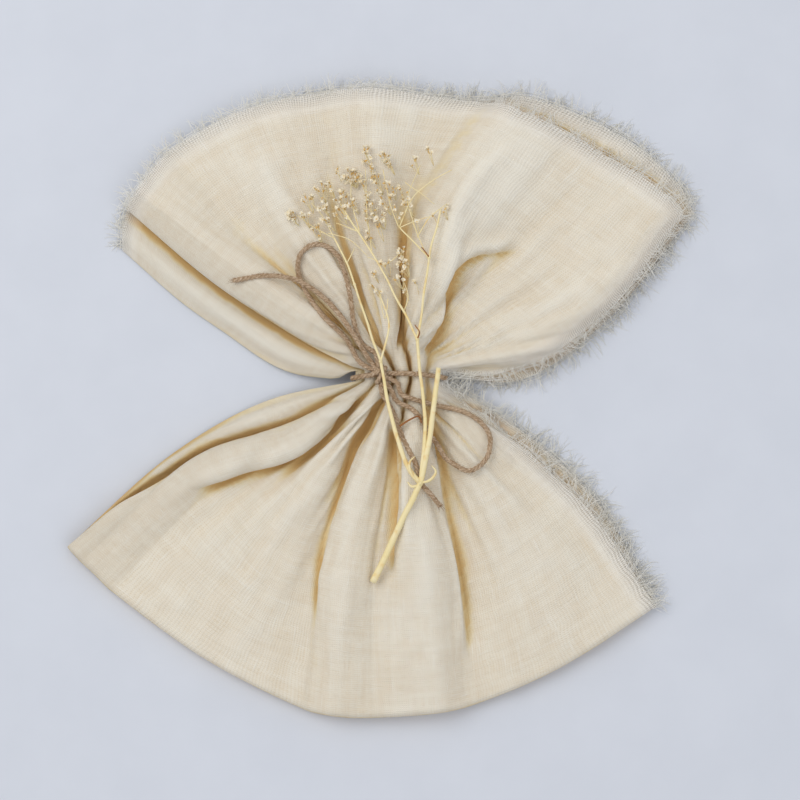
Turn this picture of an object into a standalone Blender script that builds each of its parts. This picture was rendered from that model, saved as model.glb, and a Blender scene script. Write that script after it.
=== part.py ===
"""A square muslin napkin folded in quarter, gathered at its middle and tied with twine round a dried sprig.

The cloth is one sheet. Its first fold is at the left and its second at the bottom, so four layers lie on
each other, and the tie pinches them into pleats that open into an upper and a lower fan.
Lengths are in millimetres until a mesh is made. +X is right, +Y is up the fans, and the floor is z = 0.
"""

import random

import bmesh
import bpy
import numpy as np

METRES = 0.001

# The middle of the whole part in plan, measured from the lengths below, which comes to lie at the origin
MIDDLE = (1.2, 1.4)

# The sheet: how thick it is and how far apart its layers lie, loose and where the tie pinches them
LOOSE_THICKNESS = 1.0
PINCHED_THICKNESS = 0.38
LOOSE_PITCH = 1.6
PINCHED_PITCH = 0.64
PINCH_REACH = 0.6
LAYERS = 4

# The waist under the tie: a short straight neck, its middle and the rise of its pleats' middle line
WAIST_X = 5.9
WAIST_Y = 8.7
NECK_HALF = 2.1
WAIST_RISE = 6.2

# Where each fold passes the waist, from the waist's middle, and how far it swings up or down there
WAIST_PLEATS = (
    # across, swing
    (-17.0, 0.0),
    (-15.3, 0.3),
    (-13.5, -0.3),
    (-11.1, 0.8),
    (-8.3, -1.5),
    (-5.1, 2.5),
    (-1.9, -2.8),
    (1.3, 2.9),
    (4.5, -2.9),
    (7.7, 2.7),
    (10.9, -1.6),
    (14.1, 0.4),
    (17.0, 0.0),
)

# How far from the neck, as a share of its length, a fold has turned its own way
LEAVES_NECK = 0.1

# How full a fold is: the share of its height that is added to the width of its bend, pinched and loose
PINCHED_FULLNESS = 0.72
LOOSE_FULLNESS = 0.5

# Distances along each fold, as shares of its length from the waist to the rim
STATIONS = (0.0, 0.25, 0.6, 1.0)

# Each fold of the upper fan, from left to right: edges, crests and valleys by turns.
# near, mid and rim are its places in plan, and the last three columns its heights there.
UPPER_FOLDS = (
    # name, near x y, mid x y, rim x y, near height, mid height, rim height
    ("under leaf fold", (-40, 14.5), (-72, 32), (-103, 58), 2.0, 0.8, 0.0),
    ("under leaf roll", (-36, 19), (-68, 37), (-103, 65), 4.0, 1.8, 0.4),
    ("upper leaf fold", (-30, 22), (-64, 43), (-101, 74), 2.5, 1.0, 0.0),
    ("upper leaf roll", (-26, 28), (-58, 51), (-97, 81), 6.0, 3.0, 1.0),
    ("hollow", (-21, 33), (-50, 59), (-84, 97), 2.5, 0.6, 0.6),
    ("left mound", (-15, 36), (-34, 70), (-54, 113), 8.5, 6.0, 2.5),
    ("left crevice", (-9, 37), (-19, 73), (-27, 119), 3.5, 3.0, 1.5),
    ("middle mound", (-1, 38), (-5, 76), (-5, 121), 9.5, 8.0, 4.0),
    ("deep valley", (6, 38), (12, 76), (37, 117), 3.0, 1.0, 0.6),
    ("main ridge", (14, 37), (26, 76), (58, 118), 11.5, 12.0, 5.0),
    ("right crevice", (23, 34), (53, 58), (95, 102), 2.5, 3.0, 2.0),
    ("turned edge", (43, 18), (79, 38), (116, 84), 8.0, 6.0, 2.0),
    ("raw edge", (50, 6.5), (85, 28), (122, 73), 3.0, 1.5, 0.5),
)

# Each fold of the lower fan in the same order and columns
LOWER_FOLDS = (
    ("under leaf fold", (-43, 0), (-82, -21), (-125, -59), 2.0, 0.8, 0.0),
    ("under leaf roll", (-40, -5), (-80, -23), (-122, -61.5), 4.0, 1.8, 0.3),
    ("upper leaf fold", (-36, -10.5), (-77, -26), (-119, -64.5), 2.5, 1.0, 0.2),
    ("upper leaf roll", (-32, -15), (-72, -30), (-114, -69), 7.0, 3.5, 0.5),
    ("shade line", (-27, -19), (-66, -36), (-107, -76), 2.5, 1.0, 0.5),
    ("belly", (-19, -21), (-42, -61), (-71, -102), 8.5, 4.0, 1.5),
    ("left crevice", (-10.5, -21), (-25, -67), (-32, -122), 2.5, 1.2, 0.8),
    ("left ridge", (-3.5, -23.5), (-14, -70), (-18, -125), 10.0, 9.0, 4.0),
    ("middle valley", (3.5, -24), (-4, -71), (-4, -125.5), 4.0, 5.0, 3.0),
    ("right ridge", (11, -23.5), (16, -71), (21, -123.5), 11.0, 10.5, 4.5),
    ("right crevice", (20.5, -21.5), (29.5, -69), (37, -120), 2.5, 1.0, 0.8),
    ("puffed ridge", (32, -17), (52, -58), (69, -106), 9.0, 5.0, 1.5),
    ("raw edge", (47, -8), (81, -37), (107, -82), 3.0, 1.0, 0.3),
)

# Columns of faces from each fold to the next
STEPS = (2, 2, 2, 3, 4, 4, 3, 4, 3, 4, 4, 2)

# Rows of faces, as shares of the way from the waist to the rim
UPPER_ROWS = (0.0, 0.06, 0.14, 0.24, 0.38, 0.56, 0.78, 1.0)
LOWER_ROWS = (0.0, 0.06, 0.14, 0.24, 0.38, 0.56, 0.78)

# The bottom fold: how open it is at each of its last rows, how far those rows are from the rim,
# and how far inside them the two inner layers turn
BOTTOM_FOLD = (
    # distance from the rim, opening, inset of the inner layers
    (2.6, 1.0, 0.5),
    (0.7, 0.75, 1.5),
    (0.0, 0.0, 1.9),
)
FAN_LENGTH = 130.0

# The left folds: how open they are from their first column on, and how far their rolls puff up
LEFT_OPENING = (0.0, 0.62, 0.86, 0.97)
ROLL_PUFF = (0.0, 2.6, 3.6, 1.6)

# Fold numbers where the upper leaf starts and ends, and the fold up to which its columns close up
UPPER_LEAF_START = 2.0
UPPER_LEAF_END = 11.65
LAST_FOLD = 12.0
CLOSED_UP_TO = 3.0
START_LEAVES = 0.55

# How far each leaf stays short of the upper fan's rim at each fold
UNDER_LEAF_SHORT = (0, 0, 0, 4, 6, 4, 3, 2, 0, 0, 0, 0, 0)
UPPER_LEAF_SHORT = (0, 0, 0, 0, 0, 0, 0, 0, 1, 8, 9, 6, 4)

# Fringe: the backing strip beside each raw edge, and the strands that stand out from it
STRIP_GAP = 0.35
STRIP_WIDTH = 1.2
STRAND_SPACING = 3.9
STRAND_ROOT = 0.9
STRAND_MIDDLE = 0.5
STRAND_SWAY = 0.26
STRAND_JITTER = 0.1
TOP_STRANDS = (4.5, 6.5)
RIGHT_STRANDS = (5.5, 9.5)
CORNER_CLEAR = 3.5
FRINGE_SEED = 7

# Where each fringe runs: its layer, the edge it follows and the stretch of it as row shares
FRINGES = (
    # name, layer, edge, from, to, shortest and longest strand
    ("fringe_top_upper", 3, "top", 0.02, 1.0, TOP_STRANDS),
    ("fringe_top_under", 0, "top", 0.02, 1.0, TOP_STRANDS),
    ("fringe_right_upper_a", 3, "upper", 0.24, 1.0, RIGHT_STRANDS),
    ("fringe_right_upper_b", 0, "upper", 0.24, 1.0, RIGHT_STRANDS),
    ("fringe_right_lower_a", 3, "lower", 0.24, 0.985, RIGHT_STRANDS),
    ("fringe_right_lower_b", 0, "lower", 0.24, 0.985, RIGHT_STRANDS),
)

# The twine: its radius, its clearance round the cloth and how far the wrap bows up the fans on top
TWINE_RADIUS = 1.0
WRAP_GAP = 0.6
WRAP_BOW = 0.9
WRAP_POINTS = 36
TUBE_SIDES = 8
CORD_STEP = 4.6
CORD_STOP_GAP = 0.5

# The knot: a flattened lump over the wrap
KNOT_CENTRE = (-1.6, 9.5, 13.2)
KNOT_HALF_SIZE = (4.4, 4.4, 2.6)

# Each cord of the bow: the angle at which it leaves the knot, its route from there, and the angle at
# which it comes back, or None where its end is free
CORDS = (
    (
        "loop_upper",
        152,
        (
            (-14.6, 22.9, 11.9), (-23.2, 31.5, 12.5), (-30.2, 41.2, 10.6), (-33.5, 49.2, 10.9),
            (-32.7, 55.6, 13.1), (-28.4, 59.5, 14.1), (-23.2, 59.5, 13.7), (-18.1, 55.6, 12.5),
            (-15.0, 48.1, 12.5), (-13.0, 39.0, 13.3), (-11.8, 30.3, 13.5), (-7.9, 20.5, 12.7),
        ),
        100,
    ),
    (
        "tail_upper",
        126,
        (
            (-11.2, 23.8, 16.2), (-18.4, 33.9, 14.6), (-26.8, 41.8, 13.2), (-34.3, 46.1, 13.5),
            (-45.7, 47.7, 13.9), (-58.7, 45.7, 14.1),
        ),
        None,
    ),
    (
        "loop_lower",
        -27,
        (
            (6.6, 1.8, 13.2), (11.6, -0.5, 13.4), (16.5, -1.8, 12.6), (22.1, -3.3, 11.9), (27.6, -4.3, 12.4),
            (33.1, -6.3, 12.2), (37.8, -9.5, 12.0), (41.0, -13.8, 12.3), (41.4, -19.3, 13.1), (39.4, -24.4, 14.1),
            (33.1, -28.4, 14.0), (27.6, -26.0, 12.5), (23.6, -22.9, 11.2), (20.9, -18.1, 10.7), (18.1, -14.6, 11.4),
            (14.6, -7.9, 14.4), (10.6, -4.1, 14.2), (4.8, -0.9, 13.5),
        ),
        -55,
    ),
    (
        "tail_lower",
        -84,
        (
            (0.6, -0.2, 12.9), (4.3, -7.1, 14.3), (6.7, -13.8, 14.1), (9.8, -20.5, 16.1), (12.6, -26.0, 16.6),
            (14.2, -32.7, 16.6), (18.0, -37.2, 15.6), (22.1, -42.2, 13.4),
        ),
        None,
    ),
)

# Where the sprig's stems part and join
LOW_JOINT = (14.2, -33.1, 19.1)
RIGHT_JOINT = (13.0, 22.9, 17.4)
LEFT_JOINT = (-1.2, 14.2, 16.8)
LONG_TIP = (-16.9, 75.6, 14.8)
SIDE_JOINT = (17.7, 54.4, 19.3)
RIGHT_TIP = (22.1, 73.3, 19.1)
SIDE_TIP = (5.9, 66.6, 16.4)
LEFT_TIP = (-19.3, 62.3, 15.4)
SHORT_MIDDLE = (2.0, 28.0, 16.6)
SHORT_TIP = (-2.0, 41.8, 16.4)
LONG_MIDDLE = (-11.0, 66.0, 16.4)
SIDE_MIDDLE = (11.0, 61.0, 18.0)

# The sprig's stems and twigs: radius at each end and the route
STEM_SIDES = 5
STEM_STEP = 9.0
STEMS = (
    # name, start radius, end radius, route
    ("main stem", 1.35, 1.1, ((-4.3, -71.7, 14.0), (5.1, -52.0, 16.5), LOW_JOINT)),
    ("cut stem", 1.2, 1.0, (LOW_JOINT, (18.1, -12.6, 18.0), (21.3, 11.8, 16.8))),
    ("right stem", 0.8, 0.65, (LOW_JOINT, (16.2, -10.6, 17.8), (14.6, 5.1, 17.2), RIGHT_JOINT)),
    ("left stem", 0.8, 0.7, (LOW_JOINT, (10.6, -28.8, 19.0), (5.5, -16.2, 18.3), (0.0, 7.1, 17.0), LEFT_JOINT)),
    ("long twig", 0.55, 0.45, (RIGHT_JOINT, (-4.3, 55.6, 16.8), LONG_MIDDLE, LONG_TIP)),
    ("right twig", 0.55, 0.45, (RIGHT_JOINT, (15.4, 38.6, 18.3), SIDE_JOINT, RIGHT_TIP)),
    ("side twig", 0.45, 0.4, (SIDE_JOINT, SIDE_MIDDLE, SIDE_TIP)),
    ("left twig", 0.55, 0.45, (LEFT_JOINT, (-9.5, 37.8, 16.4), (-14.6, 53.2, 15.8), LEFT_TIP)),
    ("short twig", 0.5, 0.4, (LEFT_JOINT, SHORT_MIDDLE, SHORT_TIP)),
)

# Each flower head: its middle, its radius and where its stalk starts
STALK_RADIUS = 0.4
STALK_SIDES = 4
FLOWER_HEADS = (
    # middle, radius, stalk start
    ((-12.6, 86.7, 15.0), 3.2, LONG_TIP),
    ((-35.1, 72.1, 14.8), 2.4, LEFT_TIP),
    ((-7.5, 96.9, 15.0), 2.2, (-12.6, 86.7, 15.0)),
    ((0.4, 95.7, 15.2), 2.2, (-3.5, 80.0, 17.0)),
    ((14.2, 93.0, 17.0), 2.0, RIGHT_TIP),
    ((18.9, 95.7, 17.0), 2.0, RIGHT_TIP),
    ((-25.2, 80.0, 14.5), 2.4, LONG_TIP),
    ((-15.4, 78.6, 14.9), 2.2, LONG_TIP),
    ((-3.5, 80.0, 17.0), 2.4, LONG_MIDDLE),
    ((4.3, 83.9, 16.5), 2.2, SIDE_TIP),
    ((-21.3, 68.2, 14.8), 2.4, LEFT_TIP),
    ((-9.5, 68.6, 16.7), 2.4, LONG_MIDDLE),
    ((0.4, 68.2, 16.8), 2.2, SIDE_TIP),
    ((-25.4, 63.0, 16.8), 2.2, LEFT_TIP),
    ((6.3, 56.3, 16.4), 2.2, SIDE_MIDDLE),
    ((8.3, 48.5, 17.2), 2.0, SIDE_JOINT),
    ((-3.5, 45.3, 17.0), 2.4, SHORT_TIP),
    ((6.3, 38.6, 16.4), 2.0, SHORT_MIDDLE),
    ((22.7, 75.0, 19.8), 2.2, RIGHT_TIP),
)

# The share of the folds' height that each layer takes at the rim, from the floor up
RIM_SHARES = (0.0, 0.45, 0.75, 1.0)
SHARE_FROM = 0.12
SHARE_TO = 0.6


def smooth_step(value, low, high):
    """From 0 at low to 1 at high, level at both ends."""
    share = np.clip((value - low) / (high - low), 0.0, 1.0)
    return share * share * (3.0 - 2.0 * share)


def hermite(start, end, start_slope, end_slope, share):
    """The cubic curve from start to end with the slopes given."""
    square, cube = share * share, share * share * share
    return (
        start * (2 * cube - 3 * square + 1)
        + start_slope * (cube - 2 * square + share)
        + end * (3 * square - 2 * cube)
        + end_slope * (cube - square)
    )


def along(values, distance):
    """A smooth curve through one value at each of the stations."""
    values = np.asarray(values, float)
    knots = np.asarray(STATIONS)
    slopes = np.gradient(values, knots, axis=0)
    place = int(np.clip(np.searchsorted(knots, distance) - 1, 0, len(knots) - 2))
    width = knots[place + 1] - knots[place]
    return hermite(
        values[place],
        values[place + 1],
        slopes[place] * width,
        slopes[place + 1] * width,
        (distance - knots[place]) / width,
    )


class Fan:
    """One side of the gathered cloth: its folds, and its middle surface over them."""

    def __init__(self, folds, side):
        self.side = side
        waist_y = WAIST_Y + side * NECK_HALF
        waist = [(WAIST_X + across, waist_y, WAIST_RISE + swing) for across, swing in WAIST_PLEATS]
        tracks = [np.array(waist)]
        for place in range(3):
            tracks.append(np.array([(*fold[1 + place], fold[4 + place]) for fold in folds], float))
        self.tracks = np.stack(tracks)

    def section(self, distance, fold, share):
        """Points across the fan at one distance from the waist, with the folds' height times share."""
        points = along(self.tracks, distance)
        points[:, 2] *= share
        across = np.gradient(points[:, :2], axis=0)
        across /= np.linalg.norm(across, axis=1, keepdims=True)
        level = np.concatenate([across, np.zeros((len(across), 1))], axis=1)
        place = np.clip(np.floor(fold).astype(int), 0, len(points) - 2)
        start, end = points[place], points[place + 1]
        width = np.linalg.norm((end - start)[:, :2], axis=1)
        fullness = PINCHED_FULLNESS + (LOOSE_FULLNESS - PINCHED_FULLNESS) * loose(distance)
        bend = (width + fullness * np.abs(end[:, 2] - start[:, 2]))[:, None]
        return hermite(start, end, level[place] * bend, level[place + 1] * bend, (fold - place)[:, None])

    def frame(self, distance, fold, share):
        """The same points and the directions square to the surface there."""
        points = self.section(distance, fold, share)
        small = 0.02
        right = self.section(distance, np.minimum(fold + small, LAST_FOLD), share)
        left = self.section(distance, np.maximum(fold - small, 0.0), share)
        near, far = max(distance - small, 0.0), min(distance + small, 1.0)
        out = self.section(far, fold, share) - self.section(near, fold, share)
        out /= np.linalg.norm(out, axis=1, keepdims=True)
        straight = np.array([0.0, self.side, 0.0])
        leaving = smooth_step(distance, 0.0, LEAVES_NECK)
        out = straight * (1 - leaving) + out * leaving
        square = np.cross(right - left, out) * self.side
        return points, square / np.linalg.norm(square, axis=1, keepdims=True)


UPPER = Fan(UPPER_FOLDS, 1)
LOWER = Fan(LOWER_FOLDS, -1)


def loose(distance):
    """0 where the tie pinches the cloth, 1 where it lies loose."""
    return smooth_step(distance, -0.03, PINCH_REACH)


def thickness(distance):
    return PINCHED_THICKNESS + (LOOSE_THICKNESS - PINCHED_THICKNESS) * loose(distance)


def pitch(distance):
    return PINCHED_PITCH + (LOOSE_PITCH - PINCHED_PITCH) * loose(distance)


def column_folds():
    """The fold number of each column, counted from the left edge."""
    numbers = [0.0]
    for fold, steps in enumerate(STEPS):
        numbers += [fold + (step + 1) / steps for step in range(steps)]
    return np.array(numbers)


COLUMNS = column_folds()


def leaf_start(fan, distance):
    """The fold number at which the upper leaf's left fold lies."""
    if fan is UPPER:
        return UPPER_LEAF_START
    return UPPER_LEAF_START * (1 - float(smooth_step(distance, START_LEAVES, 1.0)))


def leaf_columns(fan, distance, upper_leaf):
    """The fold number of each column in one leaf."""
    if not upper_leaf:
        return COLUMNS.copy()
    start = leaf_start(fan, distance)
    end = UPPER_LEAF_END if fan is UPPER else LAST_FOLD - (LAST_FOLD - UPPER_LEAF_END) * (1 - distance)
    folds = COLUMNS.copy()
    left = folds < CLOSED_UP_TO
    folds[left] = start + (CLOSED_UP_TO - start) * folds[left] / CLOSED_UP_TO
    right = folds > LAST_FOLD - 1
    folds[right] = LAST_FOLD - 1 + (end - LAST_FOLD + 1) * (folds[right] - LAST_FOLD + 1)
    return folds


def layer_points(fan, distance, layer, inset=0.0):
    """The middle of one layer along one row, layer 0 on the floor and layer 3 on top."""
    upper_leaf = layer > 1
    folds = leaf_columns(fan, distance, upper_leaf)
    share = 1 - (1 - RIM_SHARES[layer]) * float(smooth_step(distance, SHARE_FROM, SHARE_TO))
    points, square = fan.frame(distance - inset / FAN_LENGTH, folds, share)
    if fan is UPPER:
        short = UPPER_LEAF_SHORT if upper_leaf else UNDER_LEAF_SHORT
        held_back = np.interp(folds, range(len(short)), short) / FAN_LENGTH * distance**2
        for column, back in enumerate(held_back):
            if back > 0:
                one = folds[column : column + 1]
                points[column], square[column] = (row[0] for row in fan.frame(distance - back, one, share))
    puff = float(along(ROLL_PUFF, distance))
    start = leaf_start(fan, distance)
    lift = (layer - 0.5 * (LAYERS - 1)) * pitch(distance)
    if layer == 1 and start > 0:
        lift = lift + puff * np.sin(np.pi * np.clip(folds / start, 0, 1)) ** 1.5
    if layer == 3:
        lift = lift + puff * (1 - smooth_step(folds, start + 0.9, 4.2))
    lift = np.broadcast_to(lift, folds.shape)
    floor = 0.5 * (LAYERS - 1) * pitch(distance) + 0.5 * thickness(distance)
    points = points + square * lift[:, None]
    points[:, 2] += floor
    return points


def left_opening():
    """How open a left fold is at each column."""
    opening = np.ones(len(COLUMNS))
    opening[: len(LEFT_OPENING)] = LEFT_OPENING
    return opening[:, None]


def row_layers(fan, distance, bottom_opening=1.0, inner_inset=0.0):
    """The four layers along one row, each leaf closed at the left fold and all at the bottom fold."""
    insets = (0.0, inner_inset, inner_inset, 0.0)
    rows = [layer_points(fan, distance, layer, insets[layer]) for layer in range(LAYERS)]
    opening = left_opening()
    for under, over in ((0, 1), (2, 3)):
        middle = 0.5 * (rows[under] + rows[over])
        rows[under] = middle + opening * (rows[under] - middle)
        rows[over] = middle + opening * (rows[over] - middle)
    for under, over in ((0, 3), (1, 2)):
        middle = 0.5 * (rows[under] + rows[over])
        rows[under] = middle + bottom_opening * (rows[under] - middle)
        rows[over] = middle + bottom_opening * (rows[over] - middle)
    return rows


def sheet_middle():
    """The sheet's middle surface as a grid of points, with its thickness along the rows.

    Across the grid the left fold is the middle column, and along it the bottom fold is the middle row.
    """
    rows = []
    for distance_left, opening, inset in reversed(BOTTOM_FOLD):
        distance = 1 - distance_left / FAN_LENGTH
        rows.append((LOWER, distance, opening, inset))
    rows += [(LOWER, distance, 1.0, 0.0) for distance in reversed(LOWER_ROWS)]
    rows += [(UPPER, distance, 1.0, 0.0) for distance in UPPER_ROWS]
    columns, count = len(COLUMNS), len(rows)
    grid = np.zeros((2 * columns - 1, 2 * count - 1, 3))
    thick = np.zeros(2 * count - 1)
    for row, (fan, distance, opening, inset) in enumerate(rows):
        under, under_inner, over_inner, over = row_layers(fan, distance, opening, inset)
        up, down = count - 1 + row, count - 1 - row
        grid[columns - 1 :, up] = over
        grid[columns - 1 :: -1, up] = over_inner
        grid[columns - 1 :, down] = under
        grid[columns - 1 :: -1, down] = under_inner
        grid[columns - 1, up] = 0.5 * (over[0] + over_inner[0])
        grid[columns - 1, down] = 0.5 * (under[0] + under_inner[0])
        thick[up] = thick[down] = thickness(distance)
    return grid, thick


def surface_directions(grid):
    """The direction square to a grid of points at each point."""
    square = np.cross(np.gradient(grid, axis=0), np.gradient(grid, axis=1))
    return square / np.linalg.norm(square, axis=2, keepdims=True)


def split_cell(column, row, left_fold, bottom_fold):
    """The two triangles of one cell, split so that all four layers crease along the same lines."""
    near_left, far_left = (column, row), (column, row + 1)
    near_right, far_right = (column + 1, row), (column + 1, row + 1)
    if (column < left_fold) == (row < bottom_fold):
        return (near_left, near_right, far_right), (near_left, far_right, far_left)
    return (near_left, near_right, far_left), (near_right, far_right, far_left)


def in_metres(point):
    """A point in the part's own frame, with the part's middle over the origin."""
    across, along_fans, height = (float(value) for value in point)
    return ((across - MIDDLE[0]) * METRES, (along_fans - MIDDLE[1]) * METRES, height * METRES)


def add_object(name, points, faces, material):
    """One object from points in millimetres."""
    mesh = bpy.data.meshes.new(name)
    mesh.from_pydata([in_metres(point) for point in points], [], faces)
    shell = bmesh.new()
    shell.from_mesh(mesh)
    bmesh.ops.recalc_face_normals(shell, faces=shell.faces)
    shell.to_mesh(mesh)
    shell.free()
    mesh.materials.append(material)
    thing = bpy.data.objects.new(name, mesh)
    bpy.context.scene.collection.objects.link(thing)
    return thing


def material(name, colour, roughness):
    """A plain surface for one kind of piece."""
    finish = bpy.data.materials.new(name)
    finish.use_nodes = True
    shader = finish.node_tree.nodes["Principled BSDF"]
    shader.inputs["Base Color"].default_value = (*colour, 1.0)
    shader.inputs["Roughness"].default_value = roughness
    return finish


def cloth(grid, thick, finish):
    """The whole sheet, given its thickness, as one closed solid."""
    square = surface_directions(grid)
    half = 0.5 * thick[None, :, None]
    outer, inner = grid + square * half, grid - square * half
    across, along_rows = grid.shape[:2]
    points = np.concatenate([outer.reshape(-1, 3), inner.reshape(-1, 3)])
    below = across * along_rows

    def at(column, row, side=0):
        return side * below + column * along_rows + row

    faces = []
    for column in range(across - 1):
        for row in range(along_rows - 1):
            for ring in split_cell(column, row, across // 2, along_rows // 2):
                faces.append([at(*corner) for corner in ring])
                faces.append([at(*corner, 1) for corner in reversed(ring)])
    for column in range(across - 1):
        first, last = 0, along_rows - 1
        faces.append([at(column, first, 1), at(column + 1, first, 1), at(column + 1, first), at(column, first)])
        faces.append([at(column, last), at(column + 1, last), at(column + 1, last, 1), at(column, last, 1)])
    for row in range(along_rows - 1):
        first, last = 0, across - 1
        faces.append([at(first, row), at(first, row + 1), at(first, row + 1, 1), at(first, row, 1)])
        faces.append([at(last, row, 1), at(last, row + 1, 1), at(last, row + 1), at(last, row)])
    return add_object("cloth", points, faces, finish)


def raw_edge(grid, thick, layer, place):
    """One raw edge of a layer: its points, the directions out of the sheet and square to it, its thickness."""
    middle_column, middle_row = grid.shape[0] // 2, grid.shape[1] // 2
    over = layer > 1
    rows = grid.shape[1]
    waist = len(BOTTOM_FOLD) + len(LOWER_ROWS)
    if place == "top":
        row = rows - 1 if over else 0
        next_row = rows - 2 if over else 1
        points, inside = grid[middle_column:, row], grid[middle_column:, next_row]
        half = np.full(len(points), 0.5 * thick[row])
    else:
        steps = np.arange(waist, middle_row + 1) if place == "upper" else np.arange(waist - 1, -1, -1)
        picked = middle_row + steps if over else middle_row - steps
        points, inside = grid[-1, picked], grid[-2, picked]
        half = 0.5 * thick[picked]
    run = np.gradient(points, axis=0)
    run /= np.linalg.norm(run, axis=1, keepdims=True)
    out = points - inside
    out -= run * np.sum(out * run, axis=1, keepdims=True)
    out /= np.linalg.norm(out, axis=1, keepdims=True)
    up = np.cross(run, out)
    up *= np.sign(up[:, 2:3])
    return points, out, up, half


def strip_faces(first, second):
    """Triangles between two lines of (arc length, point number) pairs that start and end together."""
    faces = []
    one, two = 0, 0
    while one < len(first) - 1 or two < len(second) - 1:
        step_one = two == len(second) - 1
        if one < len(first) - 1 and not step_one:
            step_one = first[one + 1][0] <= second[two + 1][0]
        if step_one:
            faces.append((first[one][1], first[one + 1][1], second[two][1]))
            one += 1
        else:
            faces.append((first[one][1], second[two + 1][1], second[two][1]))
            two += 1
    return faces


def fringe(name, grid, thick, layer, place, start_share, end_share, lengths, finish):
    """A backing strip beside one raw edge, with its strands."""
    chance = random.Random(f"{FRINGE_SEED} {name}")
    points, out, up, half = raw_edge(grid, thick, layer, place)
    arc = np.concatenate([[0.0], np.cumsum(np.linalg.norm(np.diff(points, axis=0), axis=1))])
    start = start_share * arc[-1]
    end = end_share * arc[-1] - (0.0 if place == "top" else CORNER_CLEAR)

    def at(place_on_edge, away, level):
        """A point away from the edge: level is -1 on the strip's underside and 1 on its top."""
        half_there = np.interp(place_on_edge, arc, half)
        raised = between(up, place_on_edge) * level * half_there
        return between(points, place_on_edge) + between(out, place_on_edge) * away + raised

    def between(line, place_on_edge):
        """A value read between the points of the edge."""
        return np.array([np.interp(place_on_edge, arc, line[:, axis]) for axis in range(3)])

    def direction(place_on_edge):
        """The level direction straight out from the edge."""
        ahead = between(out, place_on_edge)
        ahead[2] = 0.0
        return ahead / np.linalg.norm(ahead)

    vertices, faces = [], []

    def add(point):
        vertices.append(point)
        return len(vertices) - 1

    far = STRIP_GAP + STRIP_WIDTH
    inner_stops = [start] + [float(stop) for stop in arc if start + 1.0 < stop < end - 1.0] + [end]
    inner_under = [(stop, add(at(stop, STRIP_GAP, -1))) for stop in inner_stops]
    inner_over = [(stop, add(at(stop, STRIP_GAP, 1))) for stop in inner_stops]
    outer_under = [(start, add(at(start, far, -1)))]
    outer_over = [(start, add(at(start, far, 1)))]
    roots = []
    count = int((end - start - STRAND_ROOT) / STRAND_SPACING)
    sway = chance.uniform(0, 6)
    for number in range(count):
        middle = start + (number + 0.5) * (end - start) / count
        left = (middle - 0.5 * STRAND_ROOT, add(at(middle - 0.5 * STRAND_ROOT, far, -1)))
        right = (middle + 0.5 * STRAND_ROOT, add(at(middle + 0.5 * STRAND_ROOT, far, -1)))
        top = (middle, add(at(middle, far, 1)))
        outer_under += [left, right]
        outer_over.append(top)
        roots.append((left[1], right[1], top[1]))
        ahead = direction(middle)
        aside = np.array([-ahead[1], ahead[0], 0.0])
        lean = STRAND_SWAY * np.sin(0.45 * number + sway) + chance.uniform(-STRAND_JITTER, STRAND_JITTER)
        length = chance.uniform(*lengths)
        foot = 0.5 * (vertices[left[1]] + vertices[right[1]])
        across = vertices[right[1]] - vertices[left[1]]
        across[2] = 0.0
        across *= 0.5 * STRAND_MIDDLE / np.linalg.norm(across)
        halfway = foot + (ahead + aside * 0.4 * lean) * 0.55 * length
        ring = (
            add(halfway - across),
            add(halfway + across),
            add(halfway + np.array([0.0, 0.0, STRAND_MIDDLE])),
        )
        tip = add(foot + (ahead + aside * lean) * length)
        root = roots[-1]
        for here, following in ((0, 1), (1, 2), (2, 0)):
            faces.append((root[here], root[following], ring[following]))
            faces.append((root[here], ring[following], ring[here]))
            faces.append((ring[here], ring[following], tip))
    outer_under.append((end, add(at(end, far, -1))))
    outer_over.append((end, add(at(end, far, 1))))
    faces += strip_faces(inner_under, outer_under)
    faces += strip_faces(inner_over, outer_over)
    faces += strip_faces(inner_under, inner_over)
    outside = strip_faces(outer_under, outer_over)
    faces += [face for face in outside if tuple(sorted(face)) not in {tuple(sorted(root)) for root in roots}]
    for stop in (0, -1):
        corner = [line[stop][1] for line in (inner_under, outer_under, outer_over, inner_over)]
        faces += [tuple(corner[:3]), (corner[0], corner[2], corner[3])]
    return add_object(name, vertices, faces, finish)


def smooth_route(points, step):
    """Points at even steps along a smooth curve through a route."""
    points = np.asarray(points, float)
    knots = np.concatenate([[0.0], np.cumsum(np.linalg.norm(np.diff(points, axis=0), axis=1))])
    slopes = np.gradient(points, knots, axis=0)
    count = max(int(round(knots[-1] / step)), 1)
    curve = []
    for place in np.linspace(0.0, knots[-1], count + 1):
        piece = int(np.clip(np.searchsorted(knots, place) - 1, 0, len(knots) - 2))
        width = knots[piece + 1] - knots[piece]
        share = (place - knots[piece]) / width
        ends = points[piece], points[piece + 1]
        curve.append(hermite(*ends, slopes[piece] * width, slopes[piece + 1] * width, share))
    return np.array(curve)


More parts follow.
